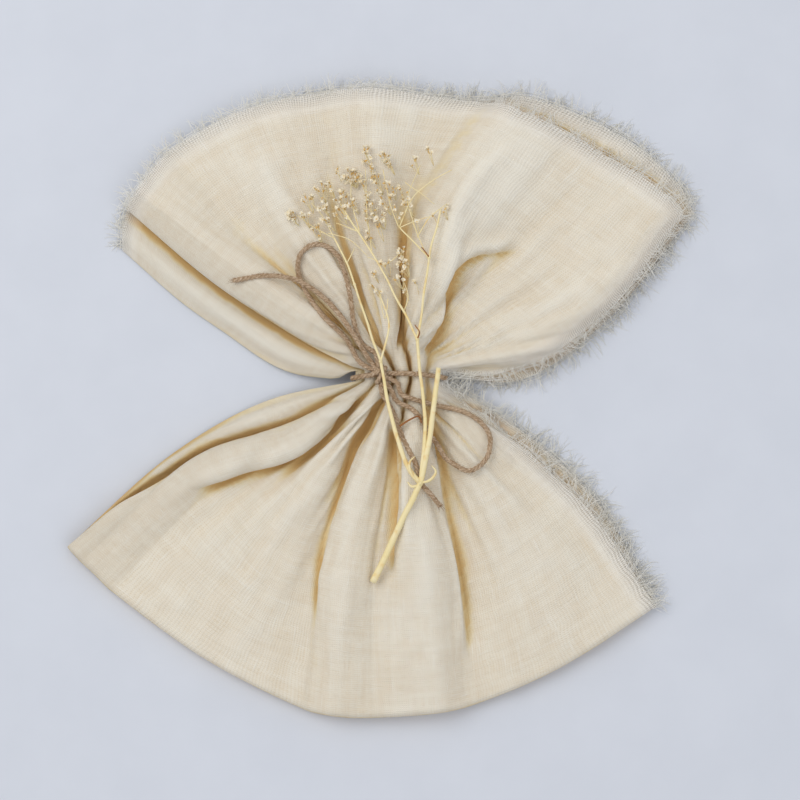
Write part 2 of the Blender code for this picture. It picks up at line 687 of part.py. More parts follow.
def swept_tube(path, radii, sides, reference, closed=False):
    """Rings of points round a path and the faces between them, with flat ends unless it is closed."""
    path = np.asarray(path, float)
    count = len(path)
    if closed:
        tangents = np.roll(path, -1, axis=0) - np.roll(path, 1, axis=0)
    else:
        tangents = np.gradient(path, axis=0)
    tangents /= np.linalg.norm(tangents, axis=1, keepdims=True)
    aside = np.cross(tangents, reference)
    aside /= np.linalg.norm(aside, axis=1, keepdims=True)
    over = np.cross(aside, tangents)
    angles = 2 * np.pi * np.arange(sides) / sides
    points = [
        path[ring] + radii[ring] * (np.cos(angle) * aside[ring] + np.sin(angle) * over[ring])
        for ring in range(count)
        for angle in angles
    ]
    faces = []
    for ring in range(count if closed else count - 1):
        following = (ring + 1) % count
        for side in range(sides):
            beside = (side + 1) % sides
            near = ring * sides + side, ring * sides + beside
            far = following * sides + beside, following * sides + side
            faces.append(near + far)
    if not closed:
        faces.append(tuple(range(sides)))
        faces.append(tuple((count - 1) * sides + side for side in range(sides)))
    return points, faces


def add_lump(name, middle, half_size, finer, finish):
    """A faceted ball stretched to the half size given."""
    ball = bmesh.new()
    bmesh.ops.create_icosphere(ball, subdivisions=finer, radius=1.0)
    points = [[middle[axis] + half_size[axis] * vertex.co[axis] for axis in range(3)] for vertex in ball.verts]
    faces = [[vertex.index for vertex in face.verts] for face in ball.faces]
    ball.free()
    return add_object(name, points, faces, finish)


def fuse(name, pieces):
    """Join pieces that cut into each other into the first one, as one solid."""
    body, rest = pieces[0], pieces[1:]
    body.name = name
    group = bpy.data.collections.new(f"{name} pieces")
    bpy.context.scene.collection.children.link(group)
    for piece in rest:
        bpy.context.scene.collection.objects.unlink(piece)
        group.objects.link(piece)
        piece.hide_render = True
        piece.display_type = "WIRE"
    joining = body.modifiers.new("fuse", "BOOLEAN")
    joining.operation = "UNION"
    joining.operand_type = "COLLECTION"
    joining.collection = group
    joining.solver = "EXACT"
    return body


def wrap_path(grid):
    """The closed route of the twine round the neck of the cloth."""
    middle_column, middle_row = grid.shape[0] // 2, grid.shape[1] // 2
    neck = len(BOTTOM_FOLD) + len(LOWER_ROWS)
    section = np.concatenate([grid[middle_column:, middle_row + neck], grid[middle_column:, middle_row - neck]])
    reach = 0.5 * PINCHED_THICKNESS + WRAP_GAP + TWINE_RADIUS
    angles = 2 * np.pi * np.arange(4 * WRAP_POINTS) / (4 * WRAP_POINTS)
    corners = []
    for angle in angles:
        facing = np.array([np.cos(angle), np.sin(angle)])
        furthest = section[np.argmax(section[:, [0, 2]] @ facing)][[0, 2]]
        corners.append(furthest + reach * facing)
    corners = np.array(corners + corners[:1])
    arc = np.concatenate([[0.0], np.cumsum(np.linalg.norm(np.diff(corners, axis=0), axis=1))])
    stops = np.linspace(0.0, arc[-1], WRAP_POINTS, endpoint=False)
    across = np.interp(stops, arc, corners[:, 0])
    height = np.interp(stops, arc, corners[:, 1])
    half_width = 0.5 * (across.max() - across.min())
    middle = 0.5 * (across.max() + across.min())
    bow = WRAP_BOW * (1 - 2 * ((across - middle) / half_width) ** 2)
    top = height > height.mean()
    return np.stack([across, WAIST_Y + np.where(top, bow, -WRAP_BOW), height], axis=1)


def tie_band(grid, finish):
    """The wrap round the waist with the knot on it."""
    path = wrap_path(grid)
    points, faces = swept_tube(path, np.full(len(path), TWINE_RADIUS), TUBE_SIDES, (0, 1, 0), closed=True)
    band = add_object("wrap", points, faces, finish)
    knot = add_lump("knot", KNOT_CENTRE, KNOT_HALF_SIZE, 2, finish)
    return fuse("tie_band", [band, knot])


def knot_exit(angle, away):
    """A point beside the knot at one angle round it."""
    reach = KNOT_HALF_SIZE[0] + away
    turn = np.radians(angle)
    return (KNOT_CENTRE[0] + reach * np.cos(turn), KNOT_CENTRE[1] + reach * np.sin(turn), KNOT_CENTRE[2])


def cord(name, leaving, route, returning, finish):
    """One free cord of the bow as a round tube along its route."""
    points = [knot_exit(leaving, CORD_STOP_GAP), knot_exit(leaving, 3 * TWINE_RADIUS), *route]
    if returning is not None:
        points += [knot_exit(returning, 3 * TWINE_RADIUS), knot_exit(returning, CORD_STOP_GAP)]
    path = smooth_route(points, CORD_STEP)
    curve = bpy.data.curves.new(name, "CURVE")
    curve.dimensions = "3D"
    curve.bevel_depth = TWINE_RADIUS * METRES
    curve.bevel_resolution = 2
    curve.use_fill_caps = True
    spline = curve.splines.new("POLY")
    spline.points.add(len(path) - 1)
    for point, place in zip(spline.points, path):
        point.co = (*in_metres(place), 1.0)
    curve.materials.append(finish)
    thing = bpy.data.objects.new(name, curve)
    bpy.context.scene.collection.objects.link(thing)
    return thing


def sprig(stem_finish, flower_finish):
    """The dried sprig: its stems, twigs, stalks and flower heads, grown together as one solid."""
    pieces = []
    for name, first_radius, last_radius, route in STEMS:
        path = smooth_route(route, STEM_STEP)
        radii = np.linspace(first_radius, last_radius, len(path))
        pieces.append(add_object(name, *swept_tube(path, radii, STEM_SIDES, (0, 0, 1)), stem_finish))
    for number, (middle, radius, stalk_start) in enumerate(FLOWER_HEADS):
        radii = (STALK_RADIUS, STALK_RADIUS)
        stalk = swept_tube((stalk_start, middle), radii, STALK_SIDES, (0, 0, 1))
        pieces.append(add_object(f"stalk {number}", *stalk, stem_finish))
        head = add_lump(f"head {number}", middle, (radius,) * 3, 1, flower_finish)
        pieces.append(head)
    return fuse("sprig", pieces)


def main():
    for thing in list(bpy.data.objects):
        bpy.data.objects.remove(thing)
    muslin = material("muslin", (0.83, 0.75, 0.62), 0.9)
    threads = material("threads", (0.88, 0.84, 0.76), 0.9)
    grid, thick = sheet_middle()
    cloth(grid, thick, muslin)
    for name, layer, place, start, end, lengths in FRINGES:
        fringe(name, grid, thick, layer, place, start, end, lengths, threads)
    twine = material("jute_twine", (0.38, 0.28, 0.18), 0.9)
    tie_band(grid, twine)
    for name, leaving, route, returning in CORDS:
        cord(name, leaving, route, returning, twine)
    stalks = material("dried_stems", (0.68, 0.5, 0.22), 0.7)
    flowers = material("dried_flowers", (0.85, 0.78, 0.62), 0.9)
    sprig(stalks, flowers)


main()
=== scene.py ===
"""Looks of the folded muslin napkin tied with twine round a dried sprig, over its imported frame.

Lengths are in millimetres in the part's own drawing frame until a mesh is made: +X right, +Y up the fans.
"""

import math
import random

import bpy
import numpy as np
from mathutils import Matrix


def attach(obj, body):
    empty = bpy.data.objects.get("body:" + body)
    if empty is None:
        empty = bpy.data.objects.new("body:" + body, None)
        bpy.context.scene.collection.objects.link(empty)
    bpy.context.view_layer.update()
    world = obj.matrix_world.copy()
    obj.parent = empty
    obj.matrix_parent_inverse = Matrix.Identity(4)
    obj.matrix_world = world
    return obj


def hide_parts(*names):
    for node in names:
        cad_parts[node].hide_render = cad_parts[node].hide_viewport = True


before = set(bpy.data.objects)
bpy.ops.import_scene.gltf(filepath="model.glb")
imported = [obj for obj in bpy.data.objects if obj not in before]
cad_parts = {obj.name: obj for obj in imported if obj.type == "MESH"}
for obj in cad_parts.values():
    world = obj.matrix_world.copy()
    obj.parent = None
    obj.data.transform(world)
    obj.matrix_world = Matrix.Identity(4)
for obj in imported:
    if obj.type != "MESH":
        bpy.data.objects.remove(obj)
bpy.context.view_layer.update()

METRES = 0.001
MIDDLE = (1.2, 1.4)

# The camera's view: millimetres to a pixel of the 800 pixel frame, and the pixel over the drawing's origin
PIXEL = 0.394
ORIGIN_PIXEL = (384.0, 398.0)
FRAME_PIXELS = 800

# The sheet, as the solids have it
LOOSE_THICKNESS = 1.0
PINCHED_THICKNESS = 0.38
LOOSE_PITCH = 1.6
PINCHED_PITCH = 0.64
PINCH_REACH = 0.6
LAYERS = 4
SHEET_CLEAR = 0.05

WAIST_X = 5.9
WAIST_Y = 8.7
NECK_HALF = 2.1
WAIST_RISE = 6.2
WAIST_PLEATS = (
    (-17.0, 0.0),
    (-15.3, 0.3),
    (-13.5, -0.3),
    (-11.1, 0.8),
    (-8.3, -1.5),
    (-5.1, 2.5),
    (-1.9, -2.8),
    (1.3, 2.9),
    (4.5, -2.9),
    (7.7, 2.7),
    (10.9, -1.6),
    (14.1, 0.4),
    (17.0, 0.0),
)
LEAVES_NECK = 0.1
PINCHED_FULLNESS = 0.72
LOOSE_FULLNESS = 0.5
STATIONS = np.array((0.0, 0.25, 0.6, 1.0))

# The folds of each fan: near, mid and rim places, then their heights there
UPPER_FOLDS = (
    ((-40, 14.5), (-72, 32), (-103, 58), 2.0, 0.8, 0.0),
    ((-36, 19), (-68, 37), (-103, 65), 4.0, 1.8, 0.4),
    ((-30, 22), (-64, 43), (-101, 74), 2.5, 1.0, 0.0),
    ((-26, 28), (-58, 51), (-97, 81), 6.0, 3.0, 1.0),
    ((-21, 33), (-50, 59), (-84, 97), 2.5, 0.6, 0.6),
    ((-15, 36), (-34, 70), (-54, 113), 8.5, 6.0, 2.5),
    ((-9, 37), (-19, 73), (-27, 119), 3.5, 3.0, 1.5),
    ((-1, 38), (-5, 76), (-5, 121), 9.5, 8.0, 4.0),
    ((6, 38), (12, 76), (37, 117), 3.0, 1.0, 0.6),
    ((14, 37), (26, 76), (58, 118), 11.5, 12.0, 5.0),
    ((23, 34), (53, 58), (95, 102), 2.5, 3.0, 2.0),
    ((43, 18), (79, 38), (116, 84), 8.0, 6.0, 2.0),
    ((50, 6.5), (85, 28), (122, 73), 3.0, 1.5, 0.5),
)
LOWER_FOLDS = (
    ((-43, 0), (-82, -21), (-125, -59), 2.0, 0.8, 0.0),
    ((-40, -5), (-80, -23), (-122, -61.5), 4.0, 1.8, 0.3),
    ((-36, -10.5), (-77, -26), (-119, -64.5), 2.5, 1.0, 0.2),
    ((-32, -15), (-72, -30), (-114, -69), 7.0, 3.5, 0.5),
    ((-27, -19), (-66, -36), (-107, -76), 2.5, 1.0, 0.5),
    ((-19, -21), (-42, -61), (-71, -102), 8.5, 4.0, 1.5),
    ((-10.5, -21), (-25, -67), (-32, -122), 2.5, 1.2, 0.8),
    ((-3.5, -23.5), (-14, -70), (-18, -125), 10.0, 9.0, 4.0),
    ((3.5, -24), (-4, -71), (-4, -125.5), 4.0, 5.0, 3.0),
    ((11, -23.5), (16, -71), (21, -123.5), 11.0, 10.5, 4.5),
    ((20.5, -21.5), (29.5, -69), (37, -120), 2.5, 1.0, 0.8),
    ((32, -17), (52, -58), (69, -106), 9.0, 5.0, 1.5),
    ((47, -8), (81, -37), (107, -82), 3.0, 1.0, 0.3),
)
FAN_LENGTH = 130.0
LAST_FOLD = 12.0
UPPER_LEAF_START = 2.0
UPPER_LEAF_END = 11.65
CLOSED_UP_TO = 3.0
START_LEAVES = 0.55
ROLL_PUFF = np.array((0.0, 2.6, 3.6, 1.6))
UNDER_LEAF_SHORT = (0, 0, 0, 4, 6, 4, 3, 2, 0, 0, 0, 0, 0)
UPPER_LEAF_SHORT = (0, 0, 0, 0, 0, 0, 0, 0, 1, 8, 9, 6, 4)
RIM_SHARES = (0.0, 0.45, 0.75, 1.0)
SHARE_FROM = 0.12
SHARE_TO = 0.6
FOLD_RADIUS = 2.6
INNER_INSET = 1.9
INSET_FADE = 2.0
CHEEK = 4.0

# The fringe: how far apart the yarns stand, and each raw edge's threads
YARN = 0.74
THREAD_RADIUS = 0.11
LEAN = {"top": 0.25, "right": 0.1}
FRINGES = (
    # piece, the layers' edge in the grid: over or under, top or right, fan, shortest and longest thread
    ("fringe_top_upper", "over", "top", None, (4.6, 8.0)),
    ("fringe_top_under", "under", "top", None, (4.6, 8.2)),
    ("fringe_right_upper_a", "over", "right", "upper", (4.5, 8.5)),
    ("fringe_right_upper_b", "under", "right", "upper", (4.5, 9.0)),
    ("fringe_right_lower_a", "over", "right", "lower", (5.5, 10.0)),
    ("fringe_right_lower_b", "under", "right", "lower", (5.0, 9.5)),
)

# The twine and its knot
TWINE_RADIUS = 1.0
TWINE_TURN = 5.6
CORD_STOP_GAP = 0.5
KNOT_CENTRE = (-1.6, 9.5, 13.2)
KNOT_HALF_SIZE = (4.4, 4.4, 2.6)
WRAP_BOW = 0.9
CORDS = (
    # name, leaving angle, route, returning angle
    (
        "loop_upper",
        152,
        (
            (-14.6, 22.9, 11.9),
            (-23.2, 31.5, 12.5),
            (-30.2, 41.2, 10.6),
            (-33.5, 49.2, 10.9),
            (-32.7, 55.6, 13.1),
            (-28.4, 59.5, 14.1),
            (-23.2, 59.5, 13.7),
            (-18.1, 55.6, 12.5),
            (-15.0, 48.1, 12.5),
            (-13.0, 39.0, 13.3),
            (-11.8, 30.3, 13.5),
            (-7.9, 20.5, 12.7),
        ),
        100,
    ),
    (
        "tail_upper",
        126,
        (
            (-11.2, 23.8, 16.2),
            (-18.4, 33.9, 14.6),
            (-26.8, 41.8, 13.2),
            (-34.3, 46.1, 13.5),
            (-45.7, 47.7, 13.9),
            (-58.7, 45.7, 14.1),
        ),
        None,
    ),
    (
        "loop_lower",
        -27,
        (
            (6.6, 1.8, 13.2),
            (11.6, -0.5, 13.4),
            (16.5, -1.8, 12.6),
            (22.1, -3.3, 11.9),
            (27.6, -4.3, 12.4),
            (33.1, -6.3, 12.2),
            (37.8, -9.5, 12.0),
            (41.0, -13.8, 12.3),
            (41.4, -19.3, 13.1),
            (39.4, -24.4, 14.1),
            (33.1, -28.4, 14.0),
            (27.6, -26.0, 12.5),
            (23.6, -22.9, 11.2),
            (20.9, -18.1, 10.7),
            (18.1, -14.6, 11.4),
            (14.6, -7.9, 14.4),
            (10.6, -4.1, 14.2),
            (4.8, -0.9, 13.5),
        ),
        -55,
    ),
    (
        "tail_lower",
        -84,
        (
            (0.6, -0.2, 12.9),
            (4.3, -7.1, 14.3),
            (6.7, -13.8, 14.1),
            (9.8, -20.5, 16.1),
            (12.6, -26.0, 16.6),
            (14.2, -32.7, 16.6),
            (18.0, -37.2, 15.6),
            (22.1, -42.2, 13.4),
        ),
        None,
    ),
)

# The sprig: where its stems part and join, as the solids have it
LOW_JOINT = (14.2, -33.1, 19.1)
RIGHT_JOINT = (13.0, 22.9, 17.4)
LEFT_JOINT = (-1.2, 14.2, 16.8)
LONG_TIP = (-16.9, 75.6, 14.8)
SIDE_JOINT = (17.7, 54.4, 19.3)
RIGHT_TIP = (22.1, 73.3, 19.1)
SIDE_TIP = (5.9, 66.6, 16.4)
LEFT_TIP = (-19.3, 62.3, 15.4)
SHORT_MIDDLE = (2.0, 28.0, 16.6)
SHORT_TIP = (-2.0, 41.8, 16.4)
LONG_MIDDLE = (-11.0, 66.0, 16.4)
STEMS = (
    # start radius, end radius, route
    (1.35, 1.1, ((-4.3, -71.7, 14.0), (0.7, -61.5, 15.2), (5.1, -52.0, 16.5), (9.8, -41.8, 17.8), LOW_JOINT)),
    (1.15, 0.95, (LOW_JOINT, (18.1, -12.6, 18.0), (21.3, 11.8, 16.8))),
    (0.8, 0.6, (LOW_JOINT, (16.2, -10.6, 17.8), (14.6, 5.1, 17.2), RIGHT_JOINT)),
    (1.0, 0.55, (LOW_JOINT, (10.6, -28.8, 19.0), (5.5, -16.2, 18.3), (0.0, 7.1, 17.0), LEFT_JOINT)),
    (0.5, 0.3, (RIGHT_JOINT, (9.0, 31.0, 17.2), (-4.3, 55.6, 16.8), LONG_MIDDLE, LONG_TIP)),
    (0.5, 0.35, (RIGHT_JOINT, (15.4, 38.6, 18.3), SIDE_JOINT, RIGHT_TIP)),
    (0.3, 0.25, (SIDE_JOINT, (11.0, 61.0, 18.0), SIDE_TIP)),
    (0.5, 0.35, (LEFT_JOINT, (-9.5, 37.8, 16.4), (-14.6, 53.2, 15.8), LEFT_TIP)),
    (0.45, 0.3, (LEFT_JOINT, SHORT_MIDDLE, SHORT_TIP)),
)
# Thin twigs: radius at the start and route, by pixels and height
TWIGS = (
    (0.28, ((360, 234, 16.4), (337, 225, 15.4))),
    (0.26, ((360, 234, 16.4), (340, 210, 15.2))),
    (0.26, ((399, 230, 16.4), (414, 198, 17.6), (429, 186, 18.0), (451, 173, 18.4))),
    (0.26, ((417, 239, 17.4), (428, 220, 18.4), (446, 207, 19.0))),
    (0.2, ((405, 185, 17.0), (434, 207, 18.6))),
    (0.24, ((428, 262, 18.9), (418, 240, 18.0), (412, 223, 17.4))),
    (0.24, ((399, 230, 16.6), (414, 224, 17.4), (430, 219, 18.2))),
    (0.24, ((348, 264, 15.8), (355, 250, 16.0))),
    (0.22, ((329, 235, 14.8), (349, 241, 15.6), (368, 258, 16.2))),
    (0.24, ((386, 270, 16.4), (376, 262, 16.6), (368, 259, 16.6))),
    (0.24, ((384, 268, 16.4), (397, 258, 16.6), (402, 252, 16.8))),
    (0.24, ((360, 234, 16.4), (352, 205, 15.6), (352, 185, 15.2))),
    (0.24, ((399, 230, 16.6), (390, 205, 16.2), (383, 172, 15.6))),
    (0.22, ((373, 258, 16.6), (367, 220, 16.0), (366, 172, 15.4))),
    (0.22, ((418, 240, 17.8), (408, 205, 16.8), (420, 168, 17.2))),
    (0.22, ((335, 240, 15.2), (322, 216, 15.0), (312, 205, 14.8))),
    (0.22, ((335, 240, 15.2), (312, 228, 14.9), (298, 217, 14.8))),
    (0.22, ((388, 300, 16.4), (386, 320, 16.5), (378, 290, 16.8))),
    (0.24, ((404, 312, 16.4), (408, 296, 16.8), (404, 284, 17.0))),
)
# Where the florets stand: pixel, height, spread in pixels, how many, and how white
FLORETS = (
    (352, 178, 15.6, 9, 16, 1.0),
    (337, 172, 14.8, 3, 2, 0.2),
    (322, 193, 14.8, 9, 7, 0.45),
    (331, 190, 15.0, 6, 4, 0.5),
    (309, 203, 14.8, 7, 5, 0.35),
    (295, 215, 14.8, 7, 6, 0.85),
    (306, 218, 15.0, 6, 4, 0.4),
    (318, 233, 14.8, 7, 5, 0.15),
    (331, 221, 15.2, 9, 6, 0.4),
    (325, 207, 15.0, 7, 5, 0.7),
    (341, 200, 15.2, 8, 6, 0.75),
    (354, 204, 15.6, 8, 6, 0.25),
    (343, 214, 15.4, 8, 5, 0.5),
    (364, 153, 15.0, 5, 4, 0.1),
    (368, 160, 15.0, 6, 4, 0.3),
    (384, 157, 15.4, 6, 5, 0.1),
    (390, 165, 15.6, 6, 4, 0.8),
    (414, 165, 16.8, 5, 4, 0.45),
    (428, 156, 17.2, 5, 3, 0.3),
    (371, 174, 15.6, 8, 6, 0.4),
    (378, 185, 15.8, 9, 6, 0.35),
    (365, 191, 15.8, 8, 5, 0.5),
    (391, 190, 16.0, 7, 5, 0.15),
    (402, 196, 16.2, 8, 5, 0.6),
    (409, 207, 16.6, 7, 4, 0.4),
    (386, 205, 16.2, 9, 6, 0.45),
    (371, 209, 16.0, 8, 6, 0.7),
    (365, 221, 16.2, 6, 4, 0.1),
    (380, 219, 16.4, 8, 6, 0.7),
    (395, 215, 16.4, 7, 4, 0.4),
    (379, 231, 16.6, 6, 4, 0.15),
    (371, 238, 16.6, 6, 4, 0.75),
    (400, 254, 16.8, 7, 6, 0.5),
    (404, 267, 17.0, 6, 5, 0.6),
    (399, 280, 17.0, 7, 5, 0.65),
    (404, 290, 16.8, 4, 2, 0.1),
    (413, 283, 16.8, 2, 1, 0.0),
    (374, 272, 16.8, 5, 3, 0.15),
    (385, 266, 16.8, 5, 3, 0.4),
    (377, 289, 16.9, 6, 4, 0.5),
    (442, 210, 19.2, 5, 3, 0.2),
    (414, 224, 17.6, 3, 2, 0.5),
    (433, 217, 18.4, 3, 1, 0.4),
)

# How finely the sheet is divided: its top layer closely, the hidden layers coarsely
CLOSE_COLUMNS = 208
COARSE_COLUMNS = 96
CLOSE_ROWS = (112, 8, 116)
COARSE_ROWS = (36, 3, 38)

# The flat napkin, and how its yarns lie
FLAT_SIDE = 500.0


def smooth_step(value, low, high):
    """From 0 at low to 1 at high, level at both ends."""
    share = np.clip((value - low) / (high - low), 0.0, 1.0)
    return share * share * (3.0 - 2.0 * share)


def hermite(start, end, start_slope, end_slope, share):
    """The cubic curve from start to end with the slopes given."""
    square, cube = share * share, share * share * share
    return (
        start * (2 * cube - 3 * square + 1)
        + start_slope * (cube - 2 * square + share)
        + end * (3 * square - 2 * cube)
        + end_slope * (cube - square)
    )


def along(values, distance):
    """A smooth curve through one value at each of the stations, read at many distances."""
    slopes = np.gradient(values, STATIONS, axis=0)
    place = np.clip(np.searchsorted(STATIONS, distance) - 1, 0, len(STATIONS) - 2)
    width = STATIONS[place + 1] - STATIONS[place]
    share = (distance - STATIONS[place]) / width
    shape = (-1,) + (1,) * (values.ndim - 1)
    width, share = width.reshape(shape), share.reshape(shape)
    return hermite(values[place], values[place + 1], slopes[place] * width, slopes[place + 1] * width, share)


def loose(distance):
    """0 where the tie pinches the cloth, 1 where it lies loose."""
    return smooth_step(distance, -0.03, PINCH_REACH)


def thickness(distance):
    return PINCHED_THICKNESS + (LOOSE_THICKNESS - PINCHED_THICKNESS) * loose(distance)


def pitch(distance):
    """How far apart the layers lie, as thin sheets that fill the solid stack's height."""
    solid = PINCHED_PITCH + (LOOSE_PITCH - PINCHED_PITCH) * loose(distance)
    return solid + thickness(distance) / (LAYERS - 1)


class Fan:
    """One side of the gathered cloth, read at many places at once."""

    def __init__(self, folds, side):
        self.side = side
        waist_y = WAIST_Y + side * NECK_HALF
        tracks = [[(WAIST_X + across, waist_y, WAIST_RISE + swing) for across, swing in WAIST_PLEATS]]
        for place in range(3):
            tracks.append([(*fold[place], fold[3 + place]) for fold in folds])
        self.tracks = np.array(tracks, float)

    def section(self, distance, fold, share):
        points = along(self.tracks, distance)
        points[..., 2] *= share[:, None]
        across = np.gradient(points[..., :2], axis=1)
        across /= np.linalg.norm(across, axis=2, keepdims=True)
        level = np.concatenate([across, np.zeros(across.shape[:2] + (1,))], axis=2)
        place = np.clip(np.floor(fold).astype(int), 0, points.shape[1] - 2)
        row = np.arange(len(points))
        start, end = points[row, place], points[row, place + 1]
        width = np.linalg.norm((end - start)[:, :2], axis=1)
        fullness = PINCHED_FULLNESS + (LOOSE_FULLNESS - PINCHED_FULLNESS) * loose(distance)
        bend = (width + fullness * np.abs(end[:, 2] - start[:, 2]))[:, None]
        return hermite(start, end, level[row, place] * bend, level[row, place + 1] * bend, (fold - place)[:, None])

    def frame(self, distance, fold, share):
        """Points, and the directions square to the surface there."""
        small = 0.02
        points = self.section(distance, fold, share)
        right = self.section(distance, np.minimum(fold + small, LAST_FOLD), share)
        left = self.section(distance, np.maximum(fold - small, 0.0), share)
        near, far = np.maximum(distance - small, 0.0), np.minimum(distance + small, 1.0)
        out = self.section(far, fold, share) - self.section(near, fold, share)
        out /= np.linalg.norm(out, axis=1, keepdims=True)
        leaving = smooth_step(distance, 0.0, LEAVES_NECK)[:, None]
        out = np.array([0.0, self.side, 0.0]) * (1 - leaving) + out * leaving
        square = np.cross(right - left, out) * self.side
        return points, square / np.linalg.norm(square, axis=1, keepdims=True)


UPPER = Fan(UPPER_FOLDS, 1)
LOWER = Fan(LOWER_FOLDS, -1)


def leaf_start(fan, distance):
    """The fold number at which the upper leaf's left fold lies."""
    if fan is UPPER:
        return np.full(distance.shape, UPPER_LEAF_START)
    return UPPER_LEAF_START * (1 - smooth_step(distance, START_LEAVES, 1.0))


def leaf_folds(fan, distance, column, upper_leaf):
    """The fold number of each place in one leaf."""
    if not upper_leaf:
        return column.copy()
    start = leaf_start(fan, distance)
    end = UPPER_LEAF_END if fan is UPPER else LAST_FOLD - (LAST_FOLD - UPPER_LEAF_END) * (1 - distance)
    folds = np.where(column < CLOSED_UP_TO, start + (CLOSED_UP_TO - start) * column / CLOSED_UP_TO, column)
    edge = LAST_FOLD - 1
    return np.where(column > edge, edge + (end - edge) * (column - edge), folds)


# The creases, read off the photograph: each route runs up the picture, in pixels, and left and right are the
# picture's. A shoulder is a soft ridge a little way off on that side. A negative depth is a soft ridge.
CREASES = (
    # route, depth, left reach, right reach, left shoulder, right shoulder
    (((262, 278), (285, 292), (310, 310)), 1.6, 5.0, 3.0, 0.0, 0.0),
    (((262, 150), (270, 180), (284, 205), (300, 235)), -1.2, 5.0, 5.0, 0.0, 0.0),
    (((325, 160), (335, 215), (345, 250), (354, 280), (366, 320), (372, 345)), 1.9, 2.0, 2.6, 0.6, 0.6),
    (((366, 200), (372, 250), (378, 300), (385, 345)), 1.2, 2.0, 2.0, 0.0, 0.4),
    (((408, 215), (405, 255), (402, 290), (399, 330), (397, 345), (394, 366)), 3.0, 1.3, 1.6, 0.9, 0.9),
    (((512, 140), (493, 151), (474, 167), (463, 182), (450, 202), (441, 232), (432, 264), (428, 297), (424, 336)), 2.3, 7.0, 0.9, 0.0, 1.6),
    (((530, 252), (498, 254), (471, 260), (453, 275), (444, 292), (440, 314), (433, 338), (423, 351), (417, 362)), 3.4, 1.0, 6.0, 2.0, 0.0),
    (((560, 296), (520, 303), (484, 315), (455, 332)), 0.8, 3.0, 4.0, 0.0, 0.0),
    (((600, 170), (560, 200), (520, 238), (480, 280)), 0.7, 5.0, 5.0, 0.0, 0.0),
    (((640, 205), (600, 240), (550, 272), (500, 300)), 0.6, 5.0, 5.0, 0.0, 0.0),
    (((175, 489), (202, 484), (255, 468), (308, 447), (336, 424), (365, 386)), 2.6, 0.8, 6.5, 1.2, 0.0),
    (((317, 640), (318, 600), (320, 566), (326, 530), (347, 475), (354, 450), (370, 426), (375, 406), (379, 390)), 2.2, 2.0, 1.2, 0.0, 1.6),
    (((392, 590), (394, 545), (397, 498), (397, 463), (396, 445), (391, 430), (388, 405)), 3.0, 5.0, 0.8, 0.0, 1.5),
    (
        ((469, 665), (467, 631), (465, 603), (459, 566), (453, 534), (445, 497), (441, 463), (435, 447), (428, 430), (420, 405)),
        3.2,
        1.0,
        7.5,
        2.2,
        0.0,
    ),
    (((335, 403), (348, 396), (359, 389), (366, 384)), 1.3, 0.8, 0.8, 0.0, 0.0),
    (((325, 436), (335, 426), (347, 411), (364, 393), (369, 385)), 1.3, 0.9, 0.9, 0.3, 0.3),
    (((336, 351), (345, 355), (351, 362), (357, 370), (362, 375)), 1.2, 1.0, 0.8, 0.0, 0.3),
    (((418, 362), (414, 368), (409, 366), (404, 372)), 0.8, 0.7, 0.7, 0.0, 0.0),
    (((422, 400), (418, 392), (414, 384), (411, 376)), 0.9, 0.8, 0.8, 0.0, 0.0),
    (((470, 412), (460, 407), (450, 401), (441, 394), (434, 386)), 1.0, 0.9, 0.9, 0.2, 0.2),
    (((548, 532), (520, 490), (490, 455), (465, 425), (450, 405)), 0.9, 4.0, 4.0, 0.0, 0.0),
    (((508, 470), (490, 442), (470, 418)), -0.7, 4.0, 4.0, 0.0, 0.0),
    (((425, 650), (415, 590), (408, 530), (404, 480)), 0.5, 2.5, 2.5, 0.0, 0.0),
    (((250, 640), (262, 590), (285, 540), (315, 495)), 0.6, 4.0, 4.0, 0.0, 0.0),
    (((345, 690), (352, 620), (356, 560)), 0.5, 3.0, 3.0, 0.0, 0.0),
)
SHOULDER_AWAY = 4.0
SHOULDER_WIDTH = 2.6
CREASE_ROUND = 0.35
CREASE_TAPER = 0.22


def from_pixel(across, down):
    """The place in the drawing frame, in millimetres, under one pixel of the photograph."""
    return ((across - ORIGIN_PIXEL[0]) * PIXEL, (ORIGIN_PIXEL[1] - down) * PIXEL)


def smooth_route(points, step):
    """Points at even steps along a smooth curve through a route."""
    points = np.asarray(points, float)
    knots = np.concatenate([[0.0], np.cumsum(np.linalg.norm(np.diff(points, axis=0), axis=1))])
    slopes = np.gradient(points, knots, axis=0)
    count = max(int(round(knots[-1] / step)), 1)
    place = np.linspace(0.0, knots[-1], count + 1)
    piece = np.clip(np.searchsorted(knots, place) - 1, 0, len(knots) - 2)
    width = (knots[piece + 1] - knots[piece])[:, None]
    share = (place - knots[piece])[:, None] / width
    return hermite(points[piece], points[piece + 1], slopes[piece] * width, slopes[piece + 1] * width, share)


